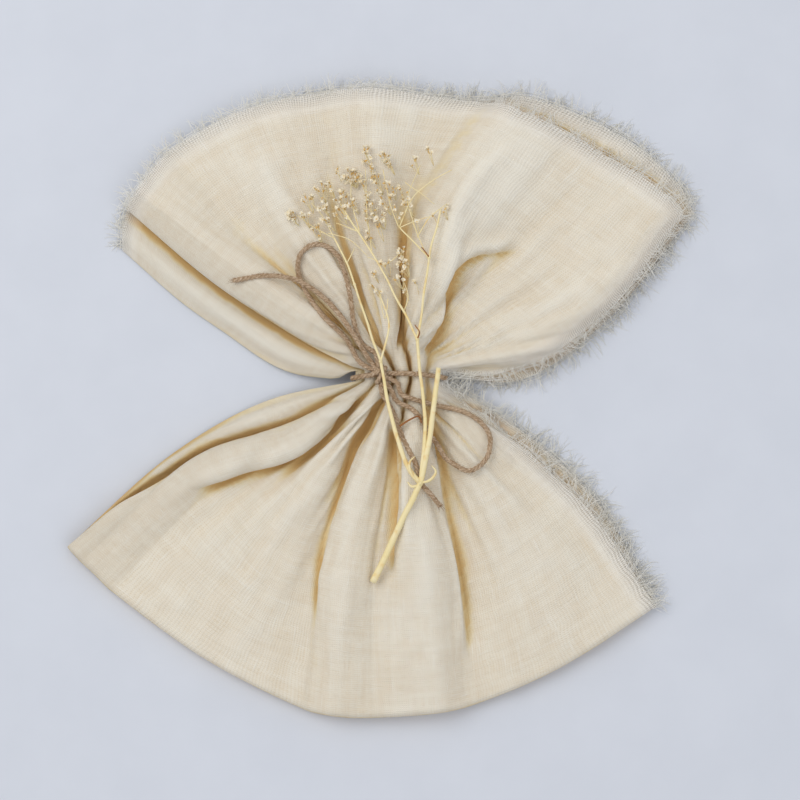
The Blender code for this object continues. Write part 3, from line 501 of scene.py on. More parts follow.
def crease_relief(plan):
    """How far the creases push the sheet up or down at each place in plan."""
    relief = np.zeros(len(plan))
    for route, depth, left_reach, right_reach, left_shoulder, right_shoulder in CREASES:
        line = smooth_route([from_pixel(*pixel) for pixel in route], 2.5)
        reach = max(4.0 * max(left_reach, right_reach), SHOULDER_AWAY + 2 * SHOULDER_WIDTH)
        low, high = line.min(axis=0) - reach, line.max(axis=0) + reach
        near = np.flatnonzero(np.all((plan > low) & (plan < high), axis=1))
        if len(near) == 0:
            continue
        start, run = line[:-1], np.diff(line, axis=0)
        length = np.linalg.norm(run, axis=1)
        offset = plan[near, None, :] - start[None]
        share = np.clip(np.sum(offset * run, axis=2) / length**2, 0, 1)
        gap = np.linalg.norm(offset - share[..., None] * run, axis=2)
        best = np.argmin(gap, axis=1)
        pick = np.arange(len(near))
        cross = run[best, 0] * offset[pick, best, 1] - run[best, 1] * offset[pick, best, 0]
        on_left = cross > 0 if line[-1, 1] > line[0, 1] else cross < 0
        side_reach = np.where(on_left, left_reach, right_reach)
        place = (best + share[pick, best]) / len(run)
        taper = smooth_step(place, 0.0, CREASE_TAPER) * (1 - 0.5 * smooth_step(place, 1 - CREASE_TAPER, 1.0))
        distance = gap[pick, best]
        if depth > 0:
            shape = np.exp(-(np.sqrt(distance**2 + CREASE_ROUND**2) - CREASE_ROUND) / side_reach)
        else:
            shape = np.exp(-((distance / side_reach) ** 2))
        shoulder = np.where(on_left, left_shoulder, right_shoulder)
        relief[near] -= depth * taper * shape
        relief[near] += shoulder * taper * np.exp(-(((distance - SHOULDER_AWAY) / SHOULDER_WIDTH) ** 2))
    return relief


def lattice_noise(places, seed):
    """Smooth noise from -1 to 1 over the plane, one unit to a cell."""
    chance = np.random.default_rng(seed)
    table = chance.uniform(-1, 1, (64, 64))
    cell = np.floor(places).astype(int)
    part = places - cell
    part = part * part * part * (part * (part * 6 - 15) + 10)
    x0, y0 = cell[:, 0] % 64, cell[:, 1] % 64
    x1, y1 = (x0 + 1) % 64, (y0 + 1) % 64
    low = table[x0, y0] * (1 - part[:, 0]) + table[x1, y0] * part[:, 0]
    high = table[x0, y1] * (1 - part[:, 0]) + table[x1, y1] * part[:, 0]
    return low * (1 - part[:, 1]) + high * part[:, 1]


def wrinkles(plan, distance, top):
    """Soft crinkles all over, finer radial ones that open from the waist, and small pleats, most of them hidden."""
    centre = np.array([WAIST_X, WAIST_Y])
    away = plan - centre
    radius = np.hypot(away[:, 0], away[:, 1])
    turn = np.arctan2(away[:, 1], away[:, 0])
    radial = np.stack([turn * 14.0, radius / 45.0], axis=1)
    fine_radial = np.stack([turn * 24.0 + 7, radius / 30.0], axis=1)
    fade = smooth_step(distance, 0.05, 0.3)
    result = 0.9 * lattice_noise(radial, 3) * fade * (1 - 0.55 * smooth_step(distance, 0.4, 1.0))
    pleated = smooth_step(distance, 0.03, 0.12) * (1 - 0.85 * smooth_step(distance, 0.2, 0.7))
    result += 1.5 * lattice_noise(fine_radial, 4) * pleated
    bent = plan + 6.0 * np.stack([lattice_noise(plan / 31.0, 5), lattice_noise(plan / 29.0, 6)], axis=1)
    result += fade * (0.55 * lattice_noise(bent / 17.0, 7) + 0.28 * lattice_noise(bent / 7.5, 8))
    result += fade * 0.16 * lattice_noise(bent / 3.4, 9)
    waves = 2 * np.pi * 8.0 * turn + 2.5 * lattice_noise(np.stack([turn * 5.0, radius / 24.0], axis=1), 11)
    deep = smooth_step(distance, 0.02, 0.1) * (1 - 0.75 * smooth_step(distance, 0.45, 1.0))
    result += (0.25 if top else 0.85) * deep * np.sin(waves)
    return result


def layer_points(fan, distance, column, layer, inset):
    """Places in one layer: layer 0 lies on the floor and layer 3 on top."""
    upper_leaf = layer > 1
    folds = leaf_folds(fan, distance, column, upper_leaf)
    share = 1 - (1 - RIM_SHARES[layer]) * smooth_step(distance, SHARE_FROM, SHARE_TO)
    there = distance - inset / FAN_LENGTH
    if fan is UPPER:
        short = UPPER_LEAF_SHORT if upper_leaf else UNDER_LEAF_SHORT
        there = there - np.interp(folds, range(len(short)), short) / FAN_LENGTH * distance**2
    points, square = fan.frame(there, folds, share)
    puff = along(ROLL_PUFF, distance)
    start = leaf_start(fan, distance)
    lift = (layer - 0.5 * (LAYERS - 1)) * pitch(distance)
    if layer == 1:
        part = np.clip(folds / np.maximum(start, 1e-6), 0, 1)
        lift = lift + puff * np.where(start > 0, np.sin(np.pi * part), 0.0) ** 1.5
    if layer == 3:
        lift = lift + puff * (1 - smooth_step(folds, start + 0.9, 4.2))
    relief = crease_relief(points[:, :2])
    on_roll = smooth_step(folds, start + 0.2, start + 1.2)
    calm = smooth_step(distance, 0.02, 0.12)
    relief = relief * on_roll * calm + wrinkles(points[:, :2], distance, layer == 3) * (0.35 + 0.65 * on_roll)
    lift = lift + relief * share
    points = points + square * lift[:, None]
    points[:, 2] += 0.5 * (LAYERS - 1) * pitch(distance) + SHEET_CLEAR
    if fan is UPPER:
        bulge = smooth_step(distance, 0.0, 0.07) * (1 - smooth_step(distance, 0.16, 0.5))
        points[:, 1] -= CHEEK * bulge * (1 - smooth_step(folds, 0.0, 3.0))
    return points


def all_layers(fan, distance, column):
    """The four layers at the same places, closed up at the left fold and at the bottom fold."""
    from_rim = (1 - distance) * FAN_LENGTH
    is_lower = fan is LOWER
    inner = INNER_INSET * np.exp(-from_rim / INSET_FADE) if is_lower else np.zeros(len(distance))
    found = {}
    for layer in range(LAYERS):
        found[layer] = layer_points(fan, distance, column, layer, inner if layer in (1, 2) else 0.0 * inner)
    opening = np.sqrt(np.clip(1 - (1 - np.minimum(column / 2.0, 1.0)) ** 2, 0, 1))[:, None]
    rows = found
    for under, over in ((0, 1), (2, 3)):
        middle = 0.5 * (rows[under] + rows[over])
        rows[under] = middle + opening * (rows[under] - middle)
        rows[over] = middle + opening * (rows[over] - middle)
    if is_lower:
        bottom = np.sqrt(np.clip(1 - (1 - np.minimum(from_rim / FOLD_RADIUS, 1.0)) ** 2, 0, 1))[:, None]
        for under, over in ((0, 3), (1, 2)):
            middle = 0.5 * (rows[under] + rows[over])
            rows[under] = middle + bottom * (rows[under] - middle)
            rows[over] = middle + bottom * (rows[over] - middle)
    return rows


def bunched(count, low, high, edge):
    """Count + 1 places from low to high, closer together near low."""
    part = np.linspace(0.0, 1.0, count + 1)
    return low + (high - low) * (edge * part**2 + (1 - edge) * part)


def row_stops(lower_count, neck_count, upper_count):
    """The rows from the bottom fold to the top edge: fan, distance from the waist."""
    rim = np.array([0.0, 0.12, 0.35, 0.7, 1.15, 1.7, 2.4, 3.3]) / FAN_LENGTH
    lower = 1 - np.concatenate([rim, bunched(lower_count - len(rim) + 1, rim[-1], 1.0, 0.0)[1:]])
    upper = np.linspace(0.0, 1.0, upper_count)
    neck = np.linspace(0.0, 1.0, neck_count + 2)[1:-1]
    return lower, neck, upper


def quadrant(layer, columns, rows):
    """The points of one layer over its columns and rows, and their places on the flat cloth."""
    lower, neck, upper = rows
    parts = []
    for fan, distances in ((LOWER, lower), (UPPER, upper)):
        distance, column = np.meshgrid(distances, columns, indexing="ij")
        points = all_layers(fan, distance.ravel(), column.ravel())[layer]
        parts.append(points.reshape(distance.shape + (3,)))
    low_points, high_points = parts
    share = neck[:, None, None]
    neck_points = low_points[-1] * (1 - share) + high_points[0] * share
    points = np.concatenate([low_points, neck_points, high_points])
    reach = 0.5 * FLAT_SIDE
    lower_share = 0.52
    along_rows = np.concatenate(
        [
            (1 - lower) * lower_share * reach,
            lower_share * reach + neck * 2 * NECK_HALF,
            lower_share * reach + 2 * NECK_HALF + upper * ((1 - lower_share) * reach - 2 * NECK_HALF),
        ]
    )
    flat = np.stack(np.meshgrid(along_rows, columns / LAST_FOLD * reach, indexing="ij")[::-1], axis=2)
    return points, flat


def column_stops(count):
    """Places across the cloth as fold numbers, closer together round the left fold."""
    roll = 2.0 * (1 - np.cos(np.linspace(0, 0.5 * np.pi, max(count // 10, 6) + 1)))
    rest = np.linspace(2.0, LAST_FOLD, count - len(roll) + 2)[1:]
    return np.concatenate([roll, rest])


def whole_sheet():
    """The whole sheet as one grid, with the left fold and the bottom fold as its middle lines."""
    close_columns, coarse_columns = column_stops(CLOSE_COLUMNS), column_stops(COARSE_COLUMNS)
    close_rows, coarse_rows = row_stops(*CLOSE_ROWS), row_stops(*COARSE_ROWS)
    top = quadrant(3, close_columns, close_rows)
    under_top = quadrant(2, coarse_columns, close_rows)
    bottom = quadrant(0, close_columns, coarse_rows)
    over_bottom = quadrant(1, coarse_columns, coarse_rows)

    def joined(index):
        """Rows bottom to top, columns from the inner layers' raw edge to the outer layers'."""
        upper = np.concatenate([under_top[index][:, :0:-1], top[index]], axis=1)
        lower = np.concatenate([over_bottom[index][:, :0:-1], bottom[index]], axis=1)
        return np.concatenate([lower[:0:-1], upper], axis=0)

    points, flat = joined(0), joined(1)
    middle_row = sum(COARSE_ROWS) - 1
    middle_column = COARSE_COLUMNS
    return points, flat, middle_row, middle_column


def in_metres(points):
    """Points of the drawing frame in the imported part's frame."""
    points = np.asarray(points, float)
    return (points - np.array([MIDDLE[0], MIDDLE[1], 0.0])) * METRES


def add_mesh(name, points, faces, material, smooth=True):
    """One object from points in the drawing frame."""
    mesh = bpy.data.meshes.new(name)
    mesh.from_pydata(in_metres(points).tolist(), [], faces)
    mesh.materials.append(material)
    mesh.polygons.foreach_set("use_smooth", [smooth] * len(mesh.polygons))
    thing = bpy.data.objects.new(name, mesh)
    bpy.context.scene.collection.objects.link(thing)
    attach(thing, "root")
    return thing


def grid_faces(rows, columns):
    """Four-sided faces over a grid of points."""
    corner = (np.arange(rows - 1)[:, None] * columns + np.arange(columns - 1)[None]).ravel()
    return np.stack([corner, corner + 1, corner + columns + 1, corner + columns], axis=1).tolist()


def box_blur(values, reach):
    """A running mean over both axes of a grid."""
    for axis in (0, 1):
        edges = [(reach, reach) if a == axis else (0, 0) for a in (0, 1)]
        total = np.insert(np.cumsum(np.pad(values, edges), axis=axis), 0, 0.0, axis=axis)
        count, width = values.shape[axis], 2 * reach + 1
        ahead = np.take(total, np.arange(width, width + count), axis=axis)
        values = (ahead - np.take(total, np.arange(count), axis=axis)) / width
    return values


def height_over_surroundings(points, reach):
    """How far each point is above the mean of the cloth's top surface round it."""
    cell, half = 1.0, 150
    place = np.clip(np.rint(points[:, :2] / cell).astype(int) + half, 0, 2 * half - 1)
    top = np.full((2 * half, 2 * half), -1.0)
    np.maximum.at(top, (place[:, 0], place[:, 1]), points[:, 2])
    there = (top >= 0).astype(float)
    top = np.where(top >= 0, top, 0.0)
    for _ in range(2):
        top, there = box_blur(top, reach), box_blur(there, reach)
    mean = top / np.maximum(there, 1e-6)
    return points[:, 2] - mean[place[:, 0], place[:, 1]]


def from_raw_edges(points):
    """How far each point of the sheet is from its nearest raw edge, along the sheet."""
    across = np.linalg.norm(np.diff(points, axis=1), axis=2)
    along_rows = np.linalg.norm(np.diff(points, axis=0), axis=2)
    left = np.insert(np.cumsum(across, axis=1), 0, 0.0, axis=1)
    low = np.insert(np.cumsum(along_rows, axis=0), 0, 0.0, axis=0)
    return np.minimum.reduce([left, left[:, -1:] - left, low, low[-1:] - low])


class Nodes:
    """A short way to write a material's nodes."""

    def __init__(self, name, slot=None):
        self.material = bpy.data.materials.new(name)
        self.material.use_nodes = True
        self.tree = self.material.node_tree
        self.tree.nodes.clear()

    def add(self, kind, **settings):
        node = self.tree.nodes.new(kind)
        inputs = settings.pop("inputs", {})
        for key, value in settings.items():
            setattr(node, key, value)
        for key, value in inputs.items():
            self.put(node.inputs[key], value)
        return node

    def put(self, socket, value):
        if isinstance(value, bpy.types.NodeSocket):
            self.tree.links.new(value, socket)
        elif isinstance(value, tuple) and len(value) == 3 and socket.type == "RGBA":
            socket.default_value = (*value, 1.0)
        else:
            socket.default_value = value

    def math(self, operation, first, second=0.0, third=0.0, clamp=False):
        node = self.add("ShaderNodeMath", operation=operation, use_clamp=clamp)
        for place, value in enumerate((first, second, third)):
            self.put(node.inputs[place], value)
        return node.outputs[0]

    def mix(self, factor, first, second, blend="MIX"):
        node = self.add("ShaderNodeMix", data_type="RGBA", blend_type=blend)
        self.put(node.inputs[0], factor)
        self.put(node.inputs[6], first)
        self.put(node.inputs[7], second)
        return node.outputs[2]

    def ramp(self, value, low, high, start=0.0, end=1.0):
        node = self.add("ShaderNodeMapRange", clamp=True)
        for place, number in enumerate((value, low, high, start, end)):
            self.put(node.inputs[place], number)
        return node.outputs[0]

    def noise(self, vector, scale, detail=2.0, roughness=0.5):
        node = self.add("ShaderNodeTexNoise", inputs={"Scale": scale, "Detail": detail, "Roughness": roughness})
        self.put(node.inputs["Vector"], vector)
        return node.outputs["Fac"]


def muslin():
    """Open cream muslin: two sets of uneven yarns, slubs, pores, painted golden shade in the hollows, painted light on
    the raised places, and sheer raw edges.
    """
    n = Nodes("muslin")
    place = n.add("ShaderNodeUVMap", uv_map="flat").outputs[0]
    parts = n.add("ShaderNodeSeparateXYZ", inputs={0: place})
    across, along_cloth = parts.outputs[0], parts.outputs[1]

    def stretched(cross, run, wide, long, seed):
        """Noise drawn out along one set of yarns."""
        vector = n.add("ShaderNodeCombineXYZ")
        n.put(vector.inputs[0], n.math("DIVIDE", cross, wide))
        n.put(vector.inputs[1], n.math("DIVIDE", run, long))
        vector.inputs[2].default_value = seed
        return n.noise(vector.outputs[0], 1.0, 1.0)

    def yarns(cross, run, seed):
        """One set of yarns: how thick each is along its length, and the round of its section."""
        wander = n.math("MULTIPLY", stretched(cross, run, 9.0, 9.0, seed + 5.0), 2.2)
        section = n.math("SINE", n.math("MULTIPLY", n.math("ADD", cross, wander), 2 * math.pi / YARN))
        return stretched(cross, run, 0.62, 9.0, seed), stretched(cross, run, 2.6, 34.0, seed + 3.0), section

    warp, warp_bands, warp_round = yarns(across, along_cloth, 1.3)
    weft, weft_bands, weft_round = yarns(along_cloth, across, 7.9)
    slubs = n.math("MAXIMUM", n.ramp(warp, 0.64, 0.76), n.ramp(weft, 0.64, 0.76))
    thin = n.math("MULTIPLY", n.ramp(warp, 0.50, 0.36), n.ramp(weft, 0.50, 0.36))
    weave = n.math("MULTIPLY", n.math("ADD", warp_round, weft_round), 0.5)
    pores = n.math("MULTIPLY", n.ramp(warp_round, 0.1, -0.9), n.ramp(weft_round, 0.1, -0.9))
    relief = n.add("ShaderNodeAttribute", attribute_name="relief").outputs["Fac"]
    from_edge = n.add("ShaderNodeAttribute", attribute_name="from_edge").outputs["Fac"]
    bands = n.math("MULTIPLY", n.math("ADD", warp_bands, weft_bands), 0.5)
    base = n.mix(n.ramp(bands, 0.38, 0.62), (0.835, 0.745, 0.595), (0.875, 0.805, 0.665))
    base = n.mix(n.math("MULTIPLY", slubs, 0.45), base, (0.94, 0.90, 0.80))
    base = n.mix(n.math("MULTIPLY", thin, 0.30), base, (0.76, 0.62, 0.42))
    base = n.mix(n.math("MULTIPLY", pores, 0.42), base, (0.66, 0.50, 0.28))
    # Painted light: raised places of the sheet (high relief) are mixed up to half way toward a pale cream.
    base = n.mix(n.ramp(relief, 0.3, 2.2, 0.0, 0.5), base, (0.94, 0.91, 0.81))
    # Painted shade: hollows of the sheet (low relief) are mixed toward golden to brown, deeper in the deeper hollows.
    golden = n.mix(n.ramp(relief, -0.9, -2.6), (0.86, 0.71, 0.40), (0.72, 0.46, 0.16))
    base = n.mix(n.ramp(relief, -0.25, -1.5, 0.0, 0.9), base, golden)
    sheer = n.ramp(from_edge, 9.0, 0.5)
    colour = n.mix(n.math("MULTIPLY", sheer, 0.6), base, (0.93, 0.92, 0.89))
    height = n.math("ADD", n.math("MULTIPLY", weave, 0.5), n.math("ADD", warp, weft))
    fine = n.add("ShaderNodeBump", inputs={"Strength": 0.5, "Distance": 0.00035})
    n.put(fine.inputs["Height"], height)
    shader = n.add("ShaderNodeBsdfPrincipled", inputs={"Roughness": 0.92, "Specular IOR Level": 0.12})
    shader.inputs["Sheen Weight"].default_value = 0.15
    shader.inputs["Sheen Roughness"].default_value = 0.5
    n.put(shader.inputs["Base Color"], colour)
    n.put(shader.inputs["Normal"], fine.outputs[0])
    through = n.add("ShaderNodeBsdfTranslucent")
    n.put(through.inputs[0], colour)
    both = n.add("ShaderNodeMixShader", inputs={0: 0.08})
    n.put(both.inputs[1], shader.outputs[0])
    n.put(both.inputs[2], through.outputs[0])
    clear = n.add("ShaderNodeBsdfTransparent")
    open_weave = n.math("MULTIPLY", n.ramp(from_edge, 5.5, 0.3), n.ramp(weave, 0.7, -0.7, 0.05, 0.85))
    shown = n.add("ShaderNodeMixShader", inputs={0: open_weave})
    n.put(shown.inputs[1], both.outputs[0])
    n.put(shown.inputs[2], clear.outputs[0])
    out = n.add("ShaderNodeOutputMaterial")
    n.put(out.inputs[0], shown.outputs[0])
    return n.material


def thread_finish():
    """The frayed yarns: whiter than the cloth and a little see-through."""
    n = Nodes("threads")
    place = n.add("ShaderNodeNewGeometry").outputs["Random Per Island"]
    colour = n.mix(place, (0.93, 0.91, 0.85), (0.97, 0.965, 0.94))
    shader = n.add("ShaderNodeBsdfPrincipled", inputs={"Roughness": 0.9, "Specular IOR Level": 0.15})
    n.put(shader.inputs["Base Color"], colour)
    through = n.add("ShaderNodeBsdfTranslucent")
    n.put(through.inputs[0], colour)
    both = n.add("ShaderNodeMixShader", inputs={0: 0.45})
    n.put(both.inputs[1], shader.outputs[0])
    n.put(both.inputs[2], through.outputs[0])
    out = n.add("ShaderNodeOutputMaterial")
    n.put(out.inputs[0], both.outputs[0])
    return n.material


def plain_finish(name, colours, roughness, scale, bump=0.0):
    """A dry matt surface between two or three colours."""
    n = Nodes(name)
    place = n.add("ShaderNodeTexCoord").outputs["Object"]
    spots = n.noise(place, scale, 3.0, 0.6)
    colour = n.mix(n.ramp(spots, 0.35, 0.65), colours[0], colours[1])
    if len(colours) > 2:
        fine = n.noise(place, scale * 2.7, 2.0, 0.6)
        colour = n.mix(n.ramp(fine, 0.52, 0.7), colour, colours[2])
    shader = n.add("ShaderNodeBsdfPrincipled", inputs={"Roughness": roughness, "Specular IOR Level": 0.2})
    n.put(shader.inputs["Base Color"], colour)
    if bump:
        relief = n.add("ShaderNodeBump", inputs={"Strength": 0.6, "Distance": bump})
        n.put(relief.inputs["Height"], spots)
        n.put(shader.inputs["Normal"], relief.outputs[0])
    out = n.add("ShaderNodeOutputMaterial")
    n.put(out.inputs[0], shader.outputs[0])
    return n.material


def make_cloth(finish):
    """The whole sheet as one open mesh, with its flat places, its relief (for the painted light and shade) and the way
    to its raw edges.
    """
    points, flat, middle_row, middle_column = whole_sheet()
    rows, columns = points.shape[:2]
    points[..., 2] = np.maximum(points[..., 2], SHEET_CLEAR)
    cloth = add_mesh("muslin_cloth", points.reshape(-1, 3), grid_faces(rows, columns), finish)
    mesh = cloth.data
    loops = np.zeros(len(mesh.loops), int)
    mesh.loops.foreach_get("vertex_index", loops)
    layer = mesh.uv_layers.new(name="flat")
    layer.data.foreach_set("uv", flat.reshape(-1, 2)[loops].astype(np.float32).ravel())
    every = points.reshape(-1, 3)
    # Height over the surroundings, which the muslin reads to paint light on raised places and golden shade in hollows.
    relief = 0.55 * height_over_surroundings(every, 2) + 0.30 * height_over_surroundings(every, 5)
    edge = from_raw_edges(points).ravel()
    for name, values in (("relief", relief), ("from_edge", edge)):
        mark = mesh.attributes.new(name, "FLOAT", "POINT")
        mark.data.foreach_set("value", values.astype(np.float32))
    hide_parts("cloth")
    return cloth, points, middle_row, middle_column


def frames_along(path):
    """Two directions square to a path at each of its points, turning as little as they can."""
    tangent = np.gradient(path, axis=0)
    tangent /= np.linalg.norm(tangent, axis=1, keepdims=True)
    aside = np.cross(tangent, (0.0, 0.0, 1.0))
    flat = np.linalg.norm(aside, axis=1) < 0.05
    aside[flat] = np.cross(tangent[flat], (0.0, 1.0, 0.0))
    aside /= np.linalg.norm(aside, axis=1, keepdims=True)
    for row in range(1, len(aside)):
        if aside[row] @ aside[row - 1] < 0:
            aside[row] = -aside[row]
    return aside, np.cross(aside, tangent)


def tube(path, radii, sides, closed=False):
    """Rings of points round a path, and their faces, with closed ends."""
    aside, over = frames_along(path)
    turn = 2 * np.pi * np.arange(sides) / sides
    ring = np.cos(turn)[None, :, None] * aside[:, None] + np.sin(turn)[None, :, None] * over[:, None]
    points = (path[:, None] + ring * np.asarray(radii)[:, None, None]).reshape(-1, 3)
    count = len(path)
    faces = []
    for row in range(count if closed else count - 1):
        following = (row + 1) % count
        for side in range(sides):
            beside = (side + 1) % sides
            faces.append((row * sides + side, row * sides + beside, following * sides + beside, following * sides + side))
    if not closed:
        faces.append(tuple(range(sides))[::-1])
        faces.append(tuple((count - 1) * sides + side for side in range(sides)))
    return points, faces


class Heap:
    """Points and faces gathered into one mesh."""

    def __init__(self):
        self.points, self.faces, self.count = [], [], 0

    def add(self, points, faces):
        self.points.append(np.asarray(points, float))
        self.faces += [tuple(corner + self.count for corner in face) for face in faces]
        self.count += len(points)

    def make(self, name, material, smooth=True):
        return add_mesh(name, np.concatenate(self.points), self.faces, material, smooth)


def twisted(heap, path, chance, closed=False, ply_radius=0.53, fuzz=1.6, tight=1.0):
    """Three plies of jute laid round a path, with short loose fibres."""
    aside, over = frames_along(path)
    arc = np.concatenate([[0.0], np.cumsum(np.linalg.norm(np.diff(path, axis=0), axis=1))])
    turns = arc / TWINE_TURN * 2 * np.pi
    if closed:
        turns = arc / arc[-1] * 2 * np.pi * round(arc[-1] / TWINE_TURN)
    for ply in range(3):
        turn = turns + ply * 2 * np.pi / 3 + chance.uniform(-0.2, 0.2)
        reach = 0.52 * tight
        line = path + reach * (np.cos(turn)[:, None] * aside + np.sin(turn)[:, None] * over)
        thick = ply_radius * tight * (1 + 0.14 * lattice_noise(np.stack([arc / 4.0, arc * 0 + 3.3 * ply], axis=1), 31 + ply))
        heap.add(*tube(line, thick, 6, closed=False))
    for _ in range(int(arc[-1] * fuzz)):
        place = chance.uniform(0, arc[-1])
        middle = np.array([np.interp(place, arc, path[:, axis]) for axis in range(3)])
        row = int(np.clip(np.searchsorted(arc, place), 0, len(path) - 1))
        tangent = np.cross(over[row], aside[row])
        turn = chance.uniform(0, 2 * math.pi)
        radial = math.cos(turn) * aside[row] + math.sin(turn) * over[row]
        lean = chance.choice((-1, 1)) * chance.uniform(0.6, 1.8)
        length = chance.uniform(0.7, 1.9)
        way = radial + tangent * lean
        way /= np.linalg.norm(way)
        bend = np.cross(way, radial + 0.1) * chance.uniform(-0.5, 0.5)
        start = middle + radial * 0.8 * TWINE_RADIUS
        line = np.array([start, start + way * 0.5 * length + bend * 0.12 * length, start + way * length + bend * 0.5 * length])
        heap.add(*tube(line, (0.07, 0.06, 0.02), 3))


def knot_exit(angle, away):
    """A point beside the knot at one angle round it."""
    reach = KNOT_HALF_SIZE[0] + away
    turn = math.radians(angle)
    return (KNOT_CENTRE[0] + reach * math.cos(turn), KNOT_CENTRE[1] + reach * math.sin(turn), KNOT_CENTRE[2])


def make_cords(finish):
    """The bow's two loops and two free ends, each made as its own twine piece in place of its part."""
    for number, (name, leaving, route, returning) in enumerate(CORDS):
        chance = random.Random(f"cord {name}")
        points = [knot_exit(leaving, -2.4), knot_exit(leaving, CORD_STOP_GAP), knot_exit(leaving, 3.0), *route]
        if returning is not None:
            points += [knot_exit(returning, 3.0), knot_exit(returning, CORD_STOP_GAP), knot_exit(returning, -2.4)]
        path = smooth_route(points, 0.7)
        heap = Heap()
        twisted(heap, path, chance)
        if returning is None:
            end, way = path[-1], path[-1] - path[-4]
            way /= np.linalg.norm(way)
            for _ in range(14):
                spread = np.array([chance.uniform(-0.5, 0.5) for _ in range(3)])
                root = end - way * 1.2 + spread * 1.1
                tip = root + (way + 0.7 * spread) * chance.uniform(1.8, 3.2)
                tip[2] = max(tip[2], 1.0)
                heap.add(*tube(np.array([root, 0.5 * (root + tip) + 0.15 * spread, tip]), (0.13, 0.1, 0.03), 3))
        piece = heap.make(f"twine_{name}", finish)
        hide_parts(name)


def make_tie(finish, neck_points):
    """The wrap round the neck and the bow knot over it."""
    chance = random.Random("tie")
    heap = Heap()
    reach = 0.35 + TWINE_RADIUS
    section = neck_points[:, [0, 2]]
    corners = []
    for turn in np.linspace(0, 2 * np.pi, 180, endpoint=False):
        facing = np.array([math.cos(turn), math.sin(turn)])
        furthest = section[np.argmax(section @ facing)]
        corners.append(furthest + reach * facing)
    corners = np.array(corners + corners[:1])
    arc = np.concatenate([[0.0], np.cumsum(np.linalg.norm(np.diff(corners, axis=0), axis=1))])
    stops = np.linspace(0.0, arc[-1], 150)
    across, height = np.interp(stops, arc, corners[:, 0]), np.interp(stops, arc, corners[:, 1])
    half_width, middle = 0.5 * (across.max() - across.min()), 0.5 * (across.max() + across.min())
    bow = WRAP_BOW * (1 - 2 * ((across - middle) / half_width) ** 2)
    top = height > height.mean()
    wrap = np.stack([across, WAIST_Y + np.where(top, bow, -WRAP_BOW), np.maximum(height, TWINE_RADIUS + 0.1)], axis=1)
    twisted(heap, wrap, chance, closed=True)
    centre = np.array(KNOT_CENTRE)
    for tilt, wide, deep, lift, shift in (
        (62, 3.3, 2.1, 0.0, (0.6, -0.6)),
        (28, 3.0, 2.3, 0.2, (-1.2, 0.6)),
        (-38, 3.2, 1.9, 0.1, (0.2, 0.4)),
        (100, 2.6, 2.2, 0.3, (1.6, -0.2)),
    ):
        turn = np.linspace(0, 2 * np.pi, 40)
        way = np.array([math.cos(math.radians(tilt)), math.sin(math.radians(tilt)), 0.0])
        line = centre + np.array([*shift, lift]) + np.cos(turn)[:, None] * way * wide
        line = line + np.sin(turn)[:, None] * np.array([0.0, 0.0, deep])
        line[:, 2] = np.maximum(line[:, 2], KNOT_CENTRE[2] - 2.4)
        twisted(heap, line, chance, closed=True, tight=0.95)
    piece = heap.make("twine_tie", finish)
    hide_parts("tie_band")
    return piece


def edge_lines(points, middle_row, middle_column, which, place, fan):
    """The raw edges of two layers: points along each, and the way out of the cloth."""
    neck_row = middle_row + CLOSE_ROWS[0] + CLOSE_ROWS[1] // 2
    lines = []
    if place == "top":
        row, inside = (-1, -4) if which == "over" else (0, 2)
        for columns in (slice(0, middle_column + 1), slice(middle_column, None)):
            lines.append((points[row, columns], points[inside, columns]))
        return lines
    if which == "over":
        low, middle, high = middle_row, neck_row, points.shape[0]
        rows = slice(middle, high) if fan == "upper" else slice(low, middle)
    else:
        middle = middle_row - (COARSE_ROWS[0] + COARSE_ROWS[1] // 2)
        rows = slice(0, middle) if fan == "upper" else slice(middle, middle_row + 1)
    for edge, inside in ((0, 2), (-1, -4)):
        lines.append((points[rows, edge], points[rows, inside]))
    return lines


